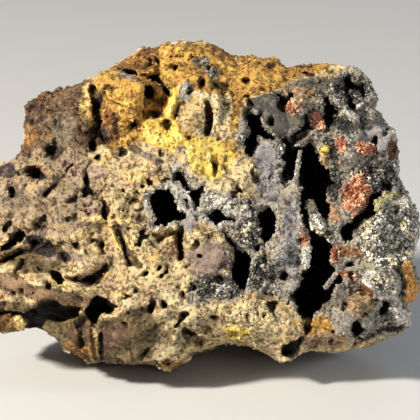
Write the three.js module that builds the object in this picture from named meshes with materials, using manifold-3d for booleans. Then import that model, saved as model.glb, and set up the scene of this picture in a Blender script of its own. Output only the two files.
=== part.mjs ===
// Beudantite and carminite on vuggy gossan: a hand specimen of limonite rock, hollowed by leaching, with
// dark beudantite crusts in the hollows and brick-red carminite on their rims. Millimetres, +Z up, standing
// on Z = 0. The broken face looks towards -Y and leans back a little, as it is shown.

import * as THREE from 'three';
import { mergeVertices } from 'three/addons/utils/BufferGeometryUtils.js';
import Module from 'manifold-3d';

const wasm = await Module();
wasm.setup();

// Driving dimensions. The view is VIEW_WIDTH across at the middle of the stone, and the base lies BASE_DROP
// below that middle.
const VIEW_WIDTH = 50;
const BASE_DROP = 17.6;
const FRONT_DEPTH = 9.8;
const FACE_LEAN_DEG = 20;
const FRONT_LEAN = 0.1;
const RIM_LEAN = 0.08;
const STAND_SHIFT = { x: 1.09, y: 1.4 };

// Fullness is the power of the curve that rounds the stone off towards its outline.
const FRONT_FULLNESS = 3.2;
const BACK_FULLNESS = 2.8;

// Roughness of the broken rock
const LUMP_SIZE = 6;
const LUMP_RISE = 0.55;
const CHIP_SIZE = 5;
const CHIP_RISE = 1;
const CHIP_TILT = 1.4;
const RIM_ROUGHNESS = 0.25;
const SIDE_DENT = 0.09;
const FACET_SWAY = 0.03;
const FACET_SWAY_WAVES = 7;
const BODY_DETAIL = 10;
const FRONT_SHARE_OF_FACETS = 0.63;

// Pockets, the crusts that line them, and the seats of the carminite
const SEAT_GAP = 0.15;
const CRUST_THICKNESS = 0.3;
const CRUST_FLOOR = 0.2;
const POCKET_FLOOR = { scale: 0.55, drift: 1 };
const POCKET_WAIST = { depth: 0.5, scale: 0.94, drift: 0.3 };
const POCKET_MOUTH = { rise: 7, scale: 1.1, drift: 0 };
const PIT_SPREAD = 1.2;
const KNOB_HEIGHT = 0.6;
const KNOB_RIM = 0.3;
const KNOB_DENT = 0.12;
const CRYSTAL_SHEAR = [0.18, 0.12];
const CRYSTAL_SQUASH = 0.9;

// Places on the face are pixels of the reference view, 420 wide, which is taken from VIEW_DISTANCE away.
// The left end of the stone reaches a little past the view.
const VIEW_PX = 420;
const VIEW_DISTANCE = 278;
const MM_PER_PX = VIEW_WIDTH / VIEW_PX;

const COLOURS = {
  gossan: 0xb89a63,
  beudantite: 0x3a3a38,
  carminite: 0xb5503a,
};

// The outline of the whole stone, clockwise from the left end.
const OUTLINE = [
  [-12, 176], [0, 163], [16, 154], [24, 137], [21, 122], [24, 107], [32, 99], [48, 90], [67, 85], [83, 80],
  [98, 76], [118, 62], [134, 54], [142, 46], [157, 48], [166, 42], [188, 40], [209, 41], [222, 48], [233, 55],
  [257, 56], [276, 59], [288, 66], [297, 62], [321, 61], [351, 64], [360, 68], [367, 80], [377, 99],
  [375, 107], [386, 123], [396, 129], [396, 150], [399, 166], [396, 174], [402, 188], [417, 214],
  [418, 230], [410, 260], [418, 279], [420, 289], [415, 300], [408, 303], [412, 324], [402, 332],
  [386, 338], [359, 350], [303, 351], [292, 360], [279, 362], [271, 356], [257, 350], [236, 343],
  [214, 348], [193, 355], [188, 362], [171, 372], [163, 372], [154, 363], [134, 364], [99, 362],
  [87, 363], [78, 354], [64, 351], [59, 340], [46, 332], [35, 328], [21, 330], [0, 334],
  [-11, 330], [-16, 314], [-12, 300], [-17, 282], [-13, 262], [-10, 240], [-16, 215], [-17, 192],
];
const OUTLINE_MIDDLE = [205, 208];

// Lumps and recesses of the face: middle, half size and turn in the view, rise in millimetres, and how flat
// the top is (1 is a round swell, 3 a table with steep sides).
const FACE_LUMPS = [
  { name: 'left hump', at: [56, 116], half: [36, 30], turn: 25, rise: 1.8, flat: 1.5 },
  { name: 'square block', at: [127, 94], half: [33, 24], turn: 18, rise: 3.2, flat: 3 },
  { name: 'amber recess', at: [160, 104], half: [13, 20], turn: -10, rise: -3.4, flat: 2 },
  { name: 'gap left of block', at: [96, 98], half: [7, 24], turn: 12, rise: -3, flat: 1.5 },
  { name: 'top ridge', at: [200, 58], half: [60, 16], turn: 3, rise: -2.2, flat: 2 },
  { name: 'right top ridge', at: [300, 68], half: [40, 12], turn: 2, rise: -2, flat: 1.5 },
  { name: 'yellow shoulder', at: [176, 72], half: [24, 20], turn: 0, rise: 1.6, flat: 2 },
  { name: 'middle plateau', at: [205, 140], half: [58, 44], turn: -10, rise: 1.5, flat: 2.5 },
  { name: 'smooth grey block', at: [276, 116], half: [28, 22], turn: 10, rise: 1.4, flat: 2.5 },
  { name: 'left ramp', at: [60, 210], half: [52, 46], turn: 0, rise: 0.9, flat: 2 },
  { name: 'tongue ledge', at: [40, 284], half: [62, 13], turn: 13, rise: 3, flat: 2.5 },
  { name: 'groove over tongue', at: [40, 247], half: [40, 11], turn: 10, rise: -2.2, flat: 1.5 },
  { name: 'undercut', at: [60, 316], half: [52, 12], turn: 3, rise: -2.2, flat: 2 },
  { name: 'lower boss', at: [135, 322], half: [44, 30], turn: 0, rise: 1.4, flat: 2 },
  { name: 'mauve boss', at: [211, 249], half: [22, 26], turn: 0, rise: 1.7, flat: 2.5 },
  { name: 'lower shelf', at: [236, 322], half: [60, 18], turn: 4, rise: 1.5, flat: 2.5 },
  { name: 'grey wall', at: [288, 230], half: [14, 58], turn: -3, rise: 1.3, flat: 2 },
  { name: 'upper right corner', at: [346, 92], half: [32, 26], turn: 20, rise: -1.2, flat: 2 },
  { name: 'carminite rib', at: [352, 168], half: [20, 44], turn: -8, rise: 1, flat: 1.5 },
  { name: 'right bulge', at: [386, 238], half: [34, 44], turn: -15, rise: 2, flat: 2 },
  { name: 'lower right mass', at: [368, 312], half: [46, 26], turn: -12, rise: 1.6, flat: 2 },
  { name: 'bright edge', at: [392, 178], half: [12, 40], turn: -8, rise: 0.9, flat: 1.5 },
];

// The back is broken along a few planes: depth at the middle, and how it falls off across and up.
const BACK_PLANES = [
  { depth: 12.4, across: 0.06, up: 0.3 },
  { depth: 16, across: -0.42, up: 0.18 },
  { depth: 15.6, across: 0.4, up: 0.3 },
  { depth: 15.4, across: 0.02, up: 0.85 },
];
const BACK_LUMPS = [
  { name: 'back rib', at: [150, 170], half: [60, 18], turn: -30, rise: 1.6, flat: 1.5 },
  { name: 'back hollow', at: [265, 150], half: [40, 30], turn: 10, rise: -2, flat: 1.5 },
  { name: 'back heel', at: [130, 300], half: [44, 26], turn: 0, rise: 1.6, flat: 2 },
  { name: 'right heel', at: [305, 300], half: [40, 26], turn: 0, rise: 1.6, flat: 2 },
  { name: 'heel notch', at: [215, 320], half: [16, 30], turn: 0, rise: -1.8, flat: 1.5 },
];

// Hollows of the face: outline in the view, depth in millimetres, how far the bottom drifts, and the crust.
const HOLLOWS = [
  {
    name: 'cleft_upper', depth: 8.5, drift: [0.4, -0.4], crust: 'crust_cleft_upper', crystals: 5,
    outline: [[312, 146], [322, 160], [329, 178], [331, 190], [328, 206], [327, 219], [319, 212], [306, 199],
      [302, 188], [297, 168], [300, 154]],
  },
  {
    name: 'cleft_lower', depth: 8.5, drift: [-0.4, 0.6], crust: 'crust_cleft_lower', crystals: 4,
    outline: [[306, 219], [316, 232], [330, 244], [332, 262], [334, 276], [332, 294], [320, 310], [308, 317],
      [297, 311], [293, 294], [304, 279], [311, 262], [311, 246]],
  },
  {
    name: 'right_slot', depth: 5.5, drift: [0, 0.5], crust: null, crystals: 0,
    outline: [[340, 234], [350, 219], [363, 211], [373, 198], [376, 205], [363, 222], [356, 234], [346, 246]],
  },
  {
    name: 'window', depth: 6.5, drift: [0.5, 0.2], crust: 'crust_window', crystals: 4,
    outline: [[157, 192], [171, 190], [178, 204], [185, 214], [174, 221], [156, 226], [151, 212], [149, 201]],
  },
  {
    name: 'window_arm', depth: 4, drift: [0, 0], crust: null, crystals: 0,
    outline: [[175, 172], [185, 178], [193, 188], [202, 197], [201, 206], [192, 199], [181, 187]],
  },
  {
    name: 'upper_pair', depth: 5.5, drift: [0.6, -0.3], crust: 'crust_upper_pair', crystals: 3,
    outline: [[246, 112], [258, 117], [266, 128], [270, 137], [264, 146], [254, 154], [245, 149], [241, 139],
      [248, 131]],
  },
  {
    name: 'behind_facet', depth: 6, drift: [0.4, 0], crust: 'crust_behind_facet', crystals: 3,
    outline: [[277, 139], [290, 140], [298, 150], [295, 162], [289, 172], [280, 163], [277, 151]],
  },
  {
    name: 'centre_left', depth: 3.5, drift: [0, 0.3], crust: null, crystals: 0,
    outline: [[208, 213], [221, 208], [224, 216], [236, 220], [234, 225], [218, 225], [209, 221]],
  },
  {
    name: 'centre_right', depth: 5.5, drift: [0, 0], crust: 'crust_centre_right', crystals: 3,
    outline: [[257, 211], [269, 208], [277, 214], [276, 229], [269, 240], [263, 245], [259, 233]],
  },
  {
    name: 'centre_bottom', depth: 6, drift: [0.2, 0.3], crust: 'crust_centre_bottom', crystals: 3,
    outline: [[231, 241], [240, 250], [251, 261], [252, 275], [248, 286], [240, 289], [231, 280], [229, 258]],
  },
  {
    name: 'under_tongue', depth: 4.5, drift: [0.4, 0.9], crust: null, crystals: 0,
    outline: [[24, 313], [38, 307], [52, 302], [64, 307], [76, 308], [74, 315], [60, 322], [44, 323],
      [33, 328], [27, 325]],
  },
  {
    name: 'tongue_tip', depth: 4.5, drift: [0.3, 0.4], crust: null, crystals: 0,
    outline: [[92, 296], [100, 294], [108, 300], [113, 308], [102, 313], [96, 325], [90, 320], [86, 310]],
  },
  {
    name: 'left_slot', depth: 3.5, drift: [0, 0.6], crust: null, crystals: 0,
    outline: [[2, 253], [14, 242], [25, 232], [29, 238], [18, 248], [5, 260]],
  },
];

// Pits: middle, half size, turn in the view and depth in millimetres.
const PITS = [
  { at: [37, 174], half: [10, 6], turn: 20, deep: 2.4 },
  { at: [54, 153], half: [5, 6], turn: 30, deep: 1.8 },
  { at: [56, 184], half: [3, 15], turn: 42, deep: 1.6 },
  { at: [106, 210], half: [3.2, 9], turn: 0, deep: 2 },
  { at: [92, 147], half: [5, 5], turn: 0, deep: 2.2 },
  { at: [150, 91], half: [5, 5.5], turn: 0, deep: 3 },
  { at: [56, 277], half: [9, 4.5], turn: 40, deep: 2 },
  { at: [106, 268], half: [11, 3.2], turn: -35, deep: 1.6 },
  { at: [90, 281], half: [10, 5], turn: 5, deep: 2 },
  { at: [179, 243], half: [3.2, 17], turn: -4, deep: 2 },
  { at: [209, 116], half: [3.2, 15], turn: 4, deep: 2.2 },
  { at: [164, 305], half: [3.4, 4.6], turn: 0, deep: 2 },
  { at: [183, 316], half: [5.5, 3.2], turn: -40, deep: 1.8 },
  { at: [190, 337], half: [9, 8], turn: 0, deep: 1.8 },
  { at: [360, 89], half: [8, 8], turn: 0, deep: 2.6 },
  { at: [328, 106], half: [7, 7], turn: 0, deep: 2.2 },
  { at: [383, 186], half: [6, 7], turn: 0, deep: 2 },
  { at: [356, 327], half: [6.5, 7], turn: 0, deep: 2.6 },
  { at: [386, 311], half: [9, 7], turn: -15, deep: 2.4 },
  { at: [395, 328], half: [12, 4], turn: -8, deep: 2.2 },
  { at: [283, 99], half: [10, 5], turn: 10, deep: 1.8 },
  { at: [291, 348], half: [7, 6], turn: 0, deep: 2.2 },
];

// Fields of crystals that stand on the open rock: middle, half size, how many, and edge in millimetres.
const CRYSTAL_FIELDS = [
  { name: 'right druse', at: [388, 232], half: [27, 34], count: 10, edge: 1.8 },
  { name: 'lower druse', at: [214, 289], half: [24, 10], count: 3, edge: 1.3 },
  { name: 'cleft wall druse', at: [284, 232], half: [10, 42], count: 3, edge: 1.3 },
  { name: 'septum druse', at: [317, 224], half: [12, 7], count: 1, edge: 1.3 },
  { name: 'upper right druse', at: [344, 122], half: [26, 22], count: 5, edge: 1.4 },
  { name: 'lower right druse', at: [372, 296], half: [34, 18], count: 3, edge: 1.4 },
];

// Carminite clusters: middle, half size and turn in the view, blade length in millimetres, and how finely
// cut.
const CARMINITE = [
  { name: 'carminite_main', at: [356, 193], half: [11, 17], turn: 15, long: 1.3, detail: 2 },
  { name: 'carminite_upper_left', at: [294, 108], half: [5.5, 6], turn: 0, long: 0.8, detail: 1 },
  { name: 'carminite_upper', at: [316, 119], half: [5, 9], turn: -25, long: 0.9, detail: 1 },
  { name: 'carminite_middle_left', at: [341, 146], half: [4.5, 7], turn: 0, long: 0.8, detail: 1 },
  { name: 'carminite_middle_right', at: [361, 147], half: [5.5, 5], turn: 0, long: 0.8, detail: 1 },
  { name: 'carminite_wall', at: [303, 240], half: [3.6, 6], turn: 0, long: 0.6, detail: 1 },
  { name: 'carminite_lower', at: [337, 257], half: [4.5, 9], turn: 0, long: 0.8, detail: 1 },
  { name: 'carminite_foot', at: [350, 276], half: [6, 4], turn: 0, long: 0.7, detail: 1 },
];

// A repeatable random number for a whole-number place.
function hash(x, y, z) {
  let h = Math.imul(x, 374761393) ^ Math.imul(y, 668265263) ^ Math.imul(z, 1103515245);
  h = Math.imul(h ^ (h >>> 13), 1274126177);
  h = Math.imul(h ^ (h >>> 16), 2246822519);
  return ((h ^ (h >>> 13)) >>> 0) / 4294967296;
}

// A repeatable row of random numbers from 0 to 1.
function randomRow(seed) {
  let index = 0;
  return () => {
    index += 1;
    return hash(seed, index, seed + index * 7);
  };
}

// Smooth noise from -1 to 1, with one lump for each unit of length.
function smoothNoise(x, y, z) {
  const cell = [Math.floor(x), Math.floor(y), Math.floor(z)];
  const part = [x - cell[0], y - cell[1], z - cell[2]].map((t) => t * t * (3 - 2 * t));
  let sum = 0;
  for (let corner = 0; corner < 8; corner += 1) {
    const step = [corner & 1, (corner >> 1) & 1, corner >> 2];
    const weight = step.reduce((product, s, axis) => product * (s ? part[axis] : 1 - part[axis]), 1);
    sum += weight * hash(cell[0] + step[0], cell[1] + step[1], cell[2] + step[2]);
  }
  return sum * 2 - 1;
}

// Lumps of several sizes, from `size` millimetres down by halves.
function ruggedness(x, y, z, size, octaves) {
  let sum = 0;
  for (let octave = 0; octave < octaves; octave += 1) {
    const finer = 2 ** octave;
    const scale = finer / size;
    sum += smoothNoise(x * scale + 31 * octave, y * scale, z * scale) / finer;
  }
  return sum;
}

// Face frame: u to the right, v up and w out of the face, all in millimetres from the middle of the view.
function placeOnFace([x, y], w) {
  const nearer = 1 - w / VIEW_DISTANCE;
  return [(x - VIEW_PX / 2) * MM_PER_PX * nearer, (VIEW_PX / 2 - y) * MM_PER_PX * nearer];
}

function seenAt(u, v, w) {
  const nearer = 1 - w / VIEW_DISTANCE;
  return [VIEW_PX / 2 + u / MM_PER_PX / nearer, VIEW_PX / 2 - v / MM_PER_PX / nearer];
}

const lean = THREE.MathUtils.degToRad(FACE_LEAN_DEG);
const faceToStone = new THREE.Matrix4()
  .makeBasis(
    new THREE.Vector3(1, 0, 0),
    new THREE.Vector3(0, Math.sin(lean), Math.cos(lean)),
    new THREE.Vector3(0, -Math.cos(lean), Math.sin(lean)),
  )
  .setPosition(STAND_SHIFT.x, STAND_SHIFT.y, BASE_DROP);

// How much of a lump or pit is present at a place in the view: 1 in its middle, 0 well outside.
function presence(lump, x, y) {
  const turn = THREE.MathUtils.degToRad(lump.turn);
  const dx = x - lump.at[0];
  const dy = y - lump.at[1];
  const along = (dx * Math.cos(turn) + dy * Math.sin(turn)) / lump.half[0];
  const across = (-dx * Math.sin(turn) + dy * Math.cos(turn)) / lump.half[1];
  return Math.exp(-0.7 * (along * along + across * across) ** lump.flat);
}

function relief(lumps, x, y) {
  return lumps.reduce((sum, lump) => sum + lump.rise * presence(lump, x, y), 0);
}

// Where the outline lies in a direction from its middle, in millimetres.
const outlineFlat = OUTLINE.map((point) => placeOnFace(point, 0));
const middleFlat = placeOnFace(OUTLINE_MIDDLE, 0);

function outlineReach(angle) {
  const dx = Math.cos(angle);
  const dy = Math.sin(angle);
  let reach = 0;
  for (let i = 0; i < outlineFlat.length; i += 1) {
    const [ax, ay] = outlineFlat[i].map((value, axis) => value - middleFlat[axis]);
    const [bx, by] = outlineFlat[(i + 1) % outlineFlat.length].map((value, axis) => value - middleFlat[axis]);
    const spread = (bx - ax) * dy - (by - ay) * dx;
    const along = (ay * dx - ax * dy) / spread;
    const distance = ((bx - ax) * ay - (by - ay) * ax) / spread;
    if (along >= 0 && along <= 1 && distance > reach) {
      reach = distance;
    }
  }
  return reach;
}

// How full the stone still is at a share of the way from its middle to its outline.
function fullness(share, power) {
  return Math.max(0, 1 - share ** power) ** (1 / power);
}

function frontDepth(u, v, share) {
  const [x, y] = seenAt(u, v, FRONT_DEPTH);
  const even = FRONT_DEPTH - FRONT_LEAN * v;
  return (even + relief(FACE_LUMPS, x, y)) * fullness(share, FRONT_FULLNESS);
}

function backDepth(u, v, share) {
  const [x, y] = seenAt(u, v, -FRONT_DEPTH);
  const planes = BACK_PLANES.map((plane) => plane.depth - plane.across * u - plane.up * v);
  return (Math.min(...planes) + relief(BACK_LUMPS, x, y)) * fullness(share, BACK_FULLNESS);
}

// Broken chips: each spot of rock about `size` across is a plane of its own, tilted and stepped, from about
// -1 to 1.
function chips(x, y, z, size) {
  const at = [x / size, y / size, z / size];
  const cell = at.map(Math.floor);
  let nearest = Infinity;
  let value = 0;
  for (let i = 0; i < 27; i += 1) {
    const step = [i % 3, Math.floor(i / 3) % 3, Math.floor(i / 9)];
    const near = cell.map((c, axis) => c + step[axis] - 1);
    const seed = near.map((c, axis) => c + hash(near[0] + 17 * axis, near[1], near[2]));
    const offset = at.map((a, axis) => a - seed[axis]);
    const distance = Math.hypot(...offset);
    if (distance < nearest) {
      nearest = distance;
      const tilt = offset.map((o, axis) => o * (hash(near[2], near[0] + 5 * axis, near[1]) * 2 - 1));
      value = hash(near[1], near[2], near[0]) - 0.5 + CHIP_TILT * (tilt[0] + tilt[1] + tilt[2]);
    }
  }
  return value;
}

// The finished surface of the front or the back, roughened, at a place and share of the way to the outline.
function surfaceAt(u, v, share, isFront) {
  const depth = isFront ? frontDepth(u, v, share) : -backDepth(u, v, share);
  const lumps = ruggedness(u, v, depth, LUMP_SIZE, 2) * LUMP_RISE;
  const broken = chips(u, v, depth, CHIP_SIZE) * CHIP_RISE;
  const roughness = RIM_ROUGHNESS + (1 - RIM_ROUGHNESS) * fullness(share, 5);
  return depth - RIM_LEAN * v + (lumps + broken) * roughness;
}

// The sides away from the outline are dented inwards here and there.
function sideDent(angle, rise) {
  const away = Math.min(1, Math.abs(rise) * 3);
  const dent = smoothNoise(Math.cos(angle) * 3.1, Math.sin(angle) * 3.1, rise * 3 + 9);
  return 1 - SIDE_DENT * away * Math.max(0, dent + 0.3);
}

// How far the stone's face stands out at a pixel of the view.
function faceHeight([x, y]) {
  const [u, v] = placeOnFace([x, y], FRONT_DEPTH);
  const dx = u - middleFlat[0];
  const dy = v - middleFlat[1];
  const share = Math.min(1, Math.hypot(dx, dy) / outlineReach(Math.atan2(dy, dx)));
  return surfaceAt(u, v, share, true);
}

// Solids and meshes
function toSolid(geometry) {
  const bare = new THREE.BufferGeometry();
  const source = geometry.index ? geometry.toNonIndexed() : geometry;
  bare.setAttribute('position', source.getAttribute('position').clone());
  const merged = mergeVertices(bare, 1e-4);
  return new wasm.Manifold(new wasm.Mesh({
    numProp: 3,
    vertProperties: new Float32Array(merged.attributes.position.array),
    triVerts: new Uint32Array(merged.index.array),
  }));
}

function toGeometry(solid) {
  const mesh = solid.getMesh();
  const geometry = new THREE.BufferGeometry();
  geometry.setAttribute('position', new THREE.BufferAttribute(new Float32Array(mesh.vertProperties), 3));
  geometry.setIndex(new THREE.BufferAttribute(new Uint32Array(mesh.triVerts), 1));
  geometry.computeVertexNormals();
  return geometry;
}

// The largest separate body of a solid, without the crumbs that a cut leaves.
function largestBody(solid) {
  const bodies = solid.decompose();
  return bodies.reduce((best, body) => (body.volume() > best.volume() ? body : best));
}

function moveVertices(geometry, move) {
  const position = geometry.getAttribute('position');
  for (let i = 0; i < position.count; i += 1) {
    const moved = move(position.getX(i), position.getY(i), position.getZ(i));
    position.setXYZ(i, ...moved);
  }
  return geometry;
}

// The whole stone before any hollow is cut, from a ball that is drawn out to the outline.
function buildBody() {
  const ball = new THREE.IcosahedronGeometry(1, BODY_DETAIL);
  const rim = 1 - 2 * FRONT_SHARE_OF_FACETS;
  moveVertices(ball, (x, y, z) => {
    const waves = [x, y, z].map((value) => value * FACET_SWAY_WAVES);
    const nx = x + FACET_SWAY * smoothNoise(...waves);
    const ny = y + FACET_SWAY * smoothNoise(waves[0] + 40, waves[1], waves[2]);
    const rise = z >= rim ? (z - rim) / (1 - rim) : (z - rim) / (1 + rim);
    const share = Math.sqrt(Math.max(0, 1 - rise * rise));
    const angle = Math.atan2(ny, nx);
    const reach = outlineReach(angle) * (rise < 0 ? sideDent(angle, rise) : 1);
    const u = middleFlat[0] + Math.cos(angle) * reach * share;
    const v = middleFlat[1] + Math.sin(angle) * reach * share;
    return [u, v, surfaceAt(u, v, share, rise >= 0)];
  });
  return toSolid(ball.applyMatrix4(faceToStone));
}

// The foot of the stone is flat where it stands: everything below Z = 0 is ground away.
function cutAtBase(solid) {
  const size = VIEW_WIDTH * 2;
  const below = new THREE.BoxGeometry(size, size, size).translate(0, 0, -size / 2);
  return solid.subtract(toSolid(below));
}

// Moves each point of an outline inwards, along the mean of the normals of its two sides.
function inset(points, distance) {
  const area = THREE.ShapeUtils.area(points.map(([x, y]) => new THREE.Vector2(x, y)));
  const side = area > 0 ? -1 : 1;
  return points.map(([x, y], i) => {
    const [px, py] = points[(i + points.length - 1) % points.length];
    const [qx, qy] = points[(i + 1) % points.length];
    const before = new THREE.Vector2(y - py, px - x).normalize();
    const after = new THREE.Vector2(qy - y, x - qx).normalize();
    const normal = before.add(after).normalize();
    return [x + side * distance * normal.x, y + side * distance * normal.y];
  });
}

function middleOf(points) {
  return [0, 1].map((axis) => points.reduce((sum, point) => sum + point[axis], 0) / points.length);
}

// A pocket in the face that narrows towards its bottom and opens in front of the face.
function pocket(hollow, margin) {
  const points = hollow.outline;
  const middle = middleOf(points);
  const surface = faceHeight(middle);
  const flat = inset(points.map((point) => placeOnFace(point, surface)), margin);
  const shape = new THREE.Shape(flat.map(([u, v]) => new THREE.Vector2(u, v)));
  const solid = new THREE.ExtrudeGeometry(shape, { depth: 2, steps: 2, bevelEnabled: false });
  const centre = placeOnFace(middle, surface);
  const rings = [
    { ...POCKET_FLOOR, w: surface - hollow.depth + margin },
    { ...POCKET_WAIST, w: surface - hollow.depth * POCKET_WAIST.depth },
    { ...POCKET_MOUTH, w: surface + POCKET_MOUTH.rise },
  ];
  moveVertices(solid, (u, v, z) => {
    const ring = rings[Math.round(z)];
    const du = (u - centre[0]) * ring.scale + hollow.drift[0] * ring.drift;
    const dv = (v - centre[1]) * ring.scale + hollow.drift[1] * ring.drift;
    return [centre[0] + du, centre[1] + dv, ring.w];
  });
  return toSolid(solid.applyMatrix4(faceToStone));
}

// A crystal: a slightly squashed cube, as a rhombohedron of beudantite looks.
function crystal(edge, random) {
  const block = new THREE.BoxGeometry(edge, edge, edge * CRYSTAL_SQUASH);
  moveVertices(block, (x, y, z) => [x + CRYSTAL_SHEAR[0] * z, y + CRYSTAL_SHEAR[1] * x, z]);
  const turn = new THREE.Euler(random() * Math.PI, random() * Math.PI, random() * Math.PI);
  return block.applyMatrix4(new THREE.Matrix4().makeRotationFromEuler(turn));
}

function placeCrystal(edge, random, [u, v], w) {
  return toSolid(crystal(edge, random).translate(u, v, w).applyMatrix4(faceToStone));
}

// Crystals on the open rock, half sunk in it.
function fieldCrystals(field, seed) {
  const random = randomRow(seed);
  const crystals = [];
  for (let i = 0; i < field.count; i += 1) {
    const angle = random() * Math.PI * 2;
    const share = Math.sqrt(random());
    const at = [
      field.at[0] + Math.cos(angle) * share * field.half[0],
      field.at[1] + Math.sin(angle) * share * field.half[1],
    ];
    const edge = field.edge * (0.75 + 0.5 * random());
    const height = faceHeight(at);
    crystals.push(placeCrystal(edge, random, placeOnFace(at, height), height));
  }
  return crystals;
}

// A pit: a small faceted hollow pressed into the face.
function pit(spec) {
  const height = faceHeight(spec.at);
  const dent = new THREE.IcosahedronGeometry(1, 0);
  const [u, v] = placeOnFace(spec.at, height);
  const turn = -THREE.MathUtils.degToRad(spec.turn);
  const spread = MM_PER_PX * PIT_SPREAD;
  dent.scale(spec.half[0] * spread, spec.half[1] * spread, spec.deep);
  dent.rotateZ(turn).translate(u, v, height);
  return toSolid(dent.applyMatrix4(faceToStone));
}

// The dark crystal lining of one hollow: a thin shell, open to the front, with crystals on its walls.
function buildCrust(hollow, body, seed) {
  const random = randomRow(seed);
  const outer = pocket(hollow, SEAT_GAP);
  const inner = pocket({ ...hollow, depth: hollow.depth - CRUST_FLOOR }, SEAT_GAP + CRUST_THICKNESS);
  let shell = outer.subtract(inner);
  const points = hollow.outline;
  const middle = middleOf(points);
  const surface = faceHeight(middle);
  for (let i = 0; i < hollow.crystals; i += 1) {
    const [x, y] = points[i % points.length];
    const deep = 0.4 + random() * hollow.depth * 0.6;
    const towards = 0.18 + 0.12 * random();
    const at = [x + (middle[0] - x) * towards, y + (middle[1] - y) * towards];
    const edge = 0.9 + 0.5 * random();
    shell = shell.add(placeCrystal(edge, random, placeOnFace(at, surface), surface - deep));
  }
  return largestBody(shell.intersect(outer).intersect(body));
}

// One carminite cluster: a low knob in the face whose outer points stand out as blades.
function buildCarminite(cluster, seed, margin) {
  const height = faceHeight(cluster.at);
  const [u, v] = placeOnFace(cluster.at, height);
  const knob = new THREE.IcosahedronGeometry(1, cluster.detail);
  const half = [cluster.half[0] * MM_PER_PX, cluster.half[1] * MM_PER_PX, KNOB_HEIGHT].map((h) => h + margin);
  moveVertices(knob, (x, y, z) => {
    const chance = hash(Math.round(x * 50) + seed, Math.round(y * 50), Math.round(z * 50));
    const blade = chance > 0.5 ? cluster.long * chance : -KNOB_DENT;
    const out = z > KNOB_RIM ? blade : 0;
    return [x * (half[0] + out * 0.5), y * (half[1] + out * 0.5), z * (half[2] + out)];
  });
  knob.rotateZ(-THREE.MathUtils.degToRad(cluster.turn)).translate(u, v, height);
  return toSolid(knob.applyMatrix4(faceToStone));
}

// The gossan: the stone with its hollows, pits and seats cut and its open crystals grown on.
function buildMatrix(body) {
  let stone = body;
  CRYSTAL_FIELDS.forEach((field, i) => {
    fieldCrystals(field, 100 + i).forEach((piece) => {
      stone = stone.add(piece);
    });
  });
  HOLLOWS.forEach((hollow) => {
    stone = stone.subtract(pocket(hollow, 0));
  });
  PITS.forEach((spec) => {
    stone = stone.subtract(pit(spec));
  });
  return stone;
}

function makeMesh(name, solid, colour, roughness, metalness) {
  const material = new THREE.MeshStandardMaterial({ color: colour, roughness, metalness });
  const mesh = new THREE.Mesh(toGeometry(solid), material);
  mesh.name = name;
  return mesh;
}

const group = new THREE.Group();
const body = cutAtBase(buildBody());
let matrix = buildMatrix(body);
CARMINITE.forEach((cluster, i) => {
  const solid = buildCarminite(cluster, 300 + i, 0);
  matrix = matrix.subtract(buildCarminite(cluster, 300 + i, SEAT_GAP));
  group.add(makeMesh(cluster.name, solid, COLOURS.carminite, 0.6, 0));
});
HOLLOWS.filter((hollow) => hollow.crust).forEach((hollow, i) => {
  const solid = buildCrust(hollow, body, 200 + i);
  group.add(makeMesh(hollow.crust, solid, COLOURS.beudantite, 0.35, 0.1));
});
group.add(makeMesh('matrix', largestBody(cutAtBase(matrix)), COLOURS.gossan, 0.9, 0));

export default group;
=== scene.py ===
"""Looks of the beudantite and carminite specimen: vuggy gossan with dark crystal crusts and red carminite.

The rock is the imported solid, read as a distance field on a grid in the face frame, then roughened, carved
and meshed again. Its crystals are joined meshes that sit on that surface. Lengths are millimetres until a
mesh is made, which is in metres.
"""

import math

import bpy
import numpy as np
import openvdb
from mathutils import Matrix, Vector


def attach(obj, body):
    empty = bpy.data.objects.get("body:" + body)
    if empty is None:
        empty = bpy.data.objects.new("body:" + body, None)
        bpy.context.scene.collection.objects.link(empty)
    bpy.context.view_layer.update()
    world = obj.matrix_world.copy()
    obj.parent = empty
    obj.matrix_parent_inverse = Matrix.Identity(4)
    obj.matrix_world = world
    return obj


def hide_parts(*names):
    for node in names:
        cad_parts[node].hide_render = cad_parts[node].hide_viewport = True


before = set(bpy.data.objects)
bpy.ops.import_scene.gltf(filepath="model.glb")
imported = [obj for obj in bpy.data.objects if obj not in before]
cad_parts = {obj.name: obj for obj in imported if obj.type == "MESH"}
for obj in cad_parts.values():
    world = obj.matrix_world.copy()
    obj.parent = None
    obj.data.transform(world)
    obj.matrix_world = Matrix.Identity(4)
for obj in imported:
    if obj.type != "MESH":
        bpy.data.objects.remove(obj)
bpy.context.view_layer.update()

# Driving dimensions, as in the part: the view is VIEW_WIDTH across at the middle of the stone.
METRE = 0.001
VIEW_WIDTH = 50.0
VIEW_PX = 420
VIEW_DISTANCE = 278.0
FACE_LEAN = math.radians(20)
FACE_ORIGIN = np.array([1.09, 1.4, 17.6])
MM_PER_PX = VIEW_WIDTH / VIEW_PX
SENSOR = 36.0
LENS = SENSOR * VIEW_DISTANCE / VIEW_WIDTH

# Axes of the face frame in the stone's own: to the right, up the face, and out of it
FACE_AXES = np.array([
    [1, 0, 0],
    [0, math.sin(FACE_LEAN), math.cos(FACE_LEAN)],
    [0, -math.cos(FACE_LEAN), math.sin(FACE_LEAN)],
])

# Heights in the face frame: where the back turns into the front, and a guess above the face to look down from
FRONT_HEIGHTS = (-6, -1)
GUESSED_HEIGHT = 5.0

# The stone is cut off here, just above the ground.
BASE_LEVEL = 0.02

# The grid of the rock's distance field: voxel, band in which distances are known, margin around the stone,
# and how far the field is smoothed at first and at the end
VOXEL = 0.2
BAND = 3.2
MARGIN = 1.6
FIRST_BLUR = 0.3
LAST_BLUR_VOXELS = 0.4

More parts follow.
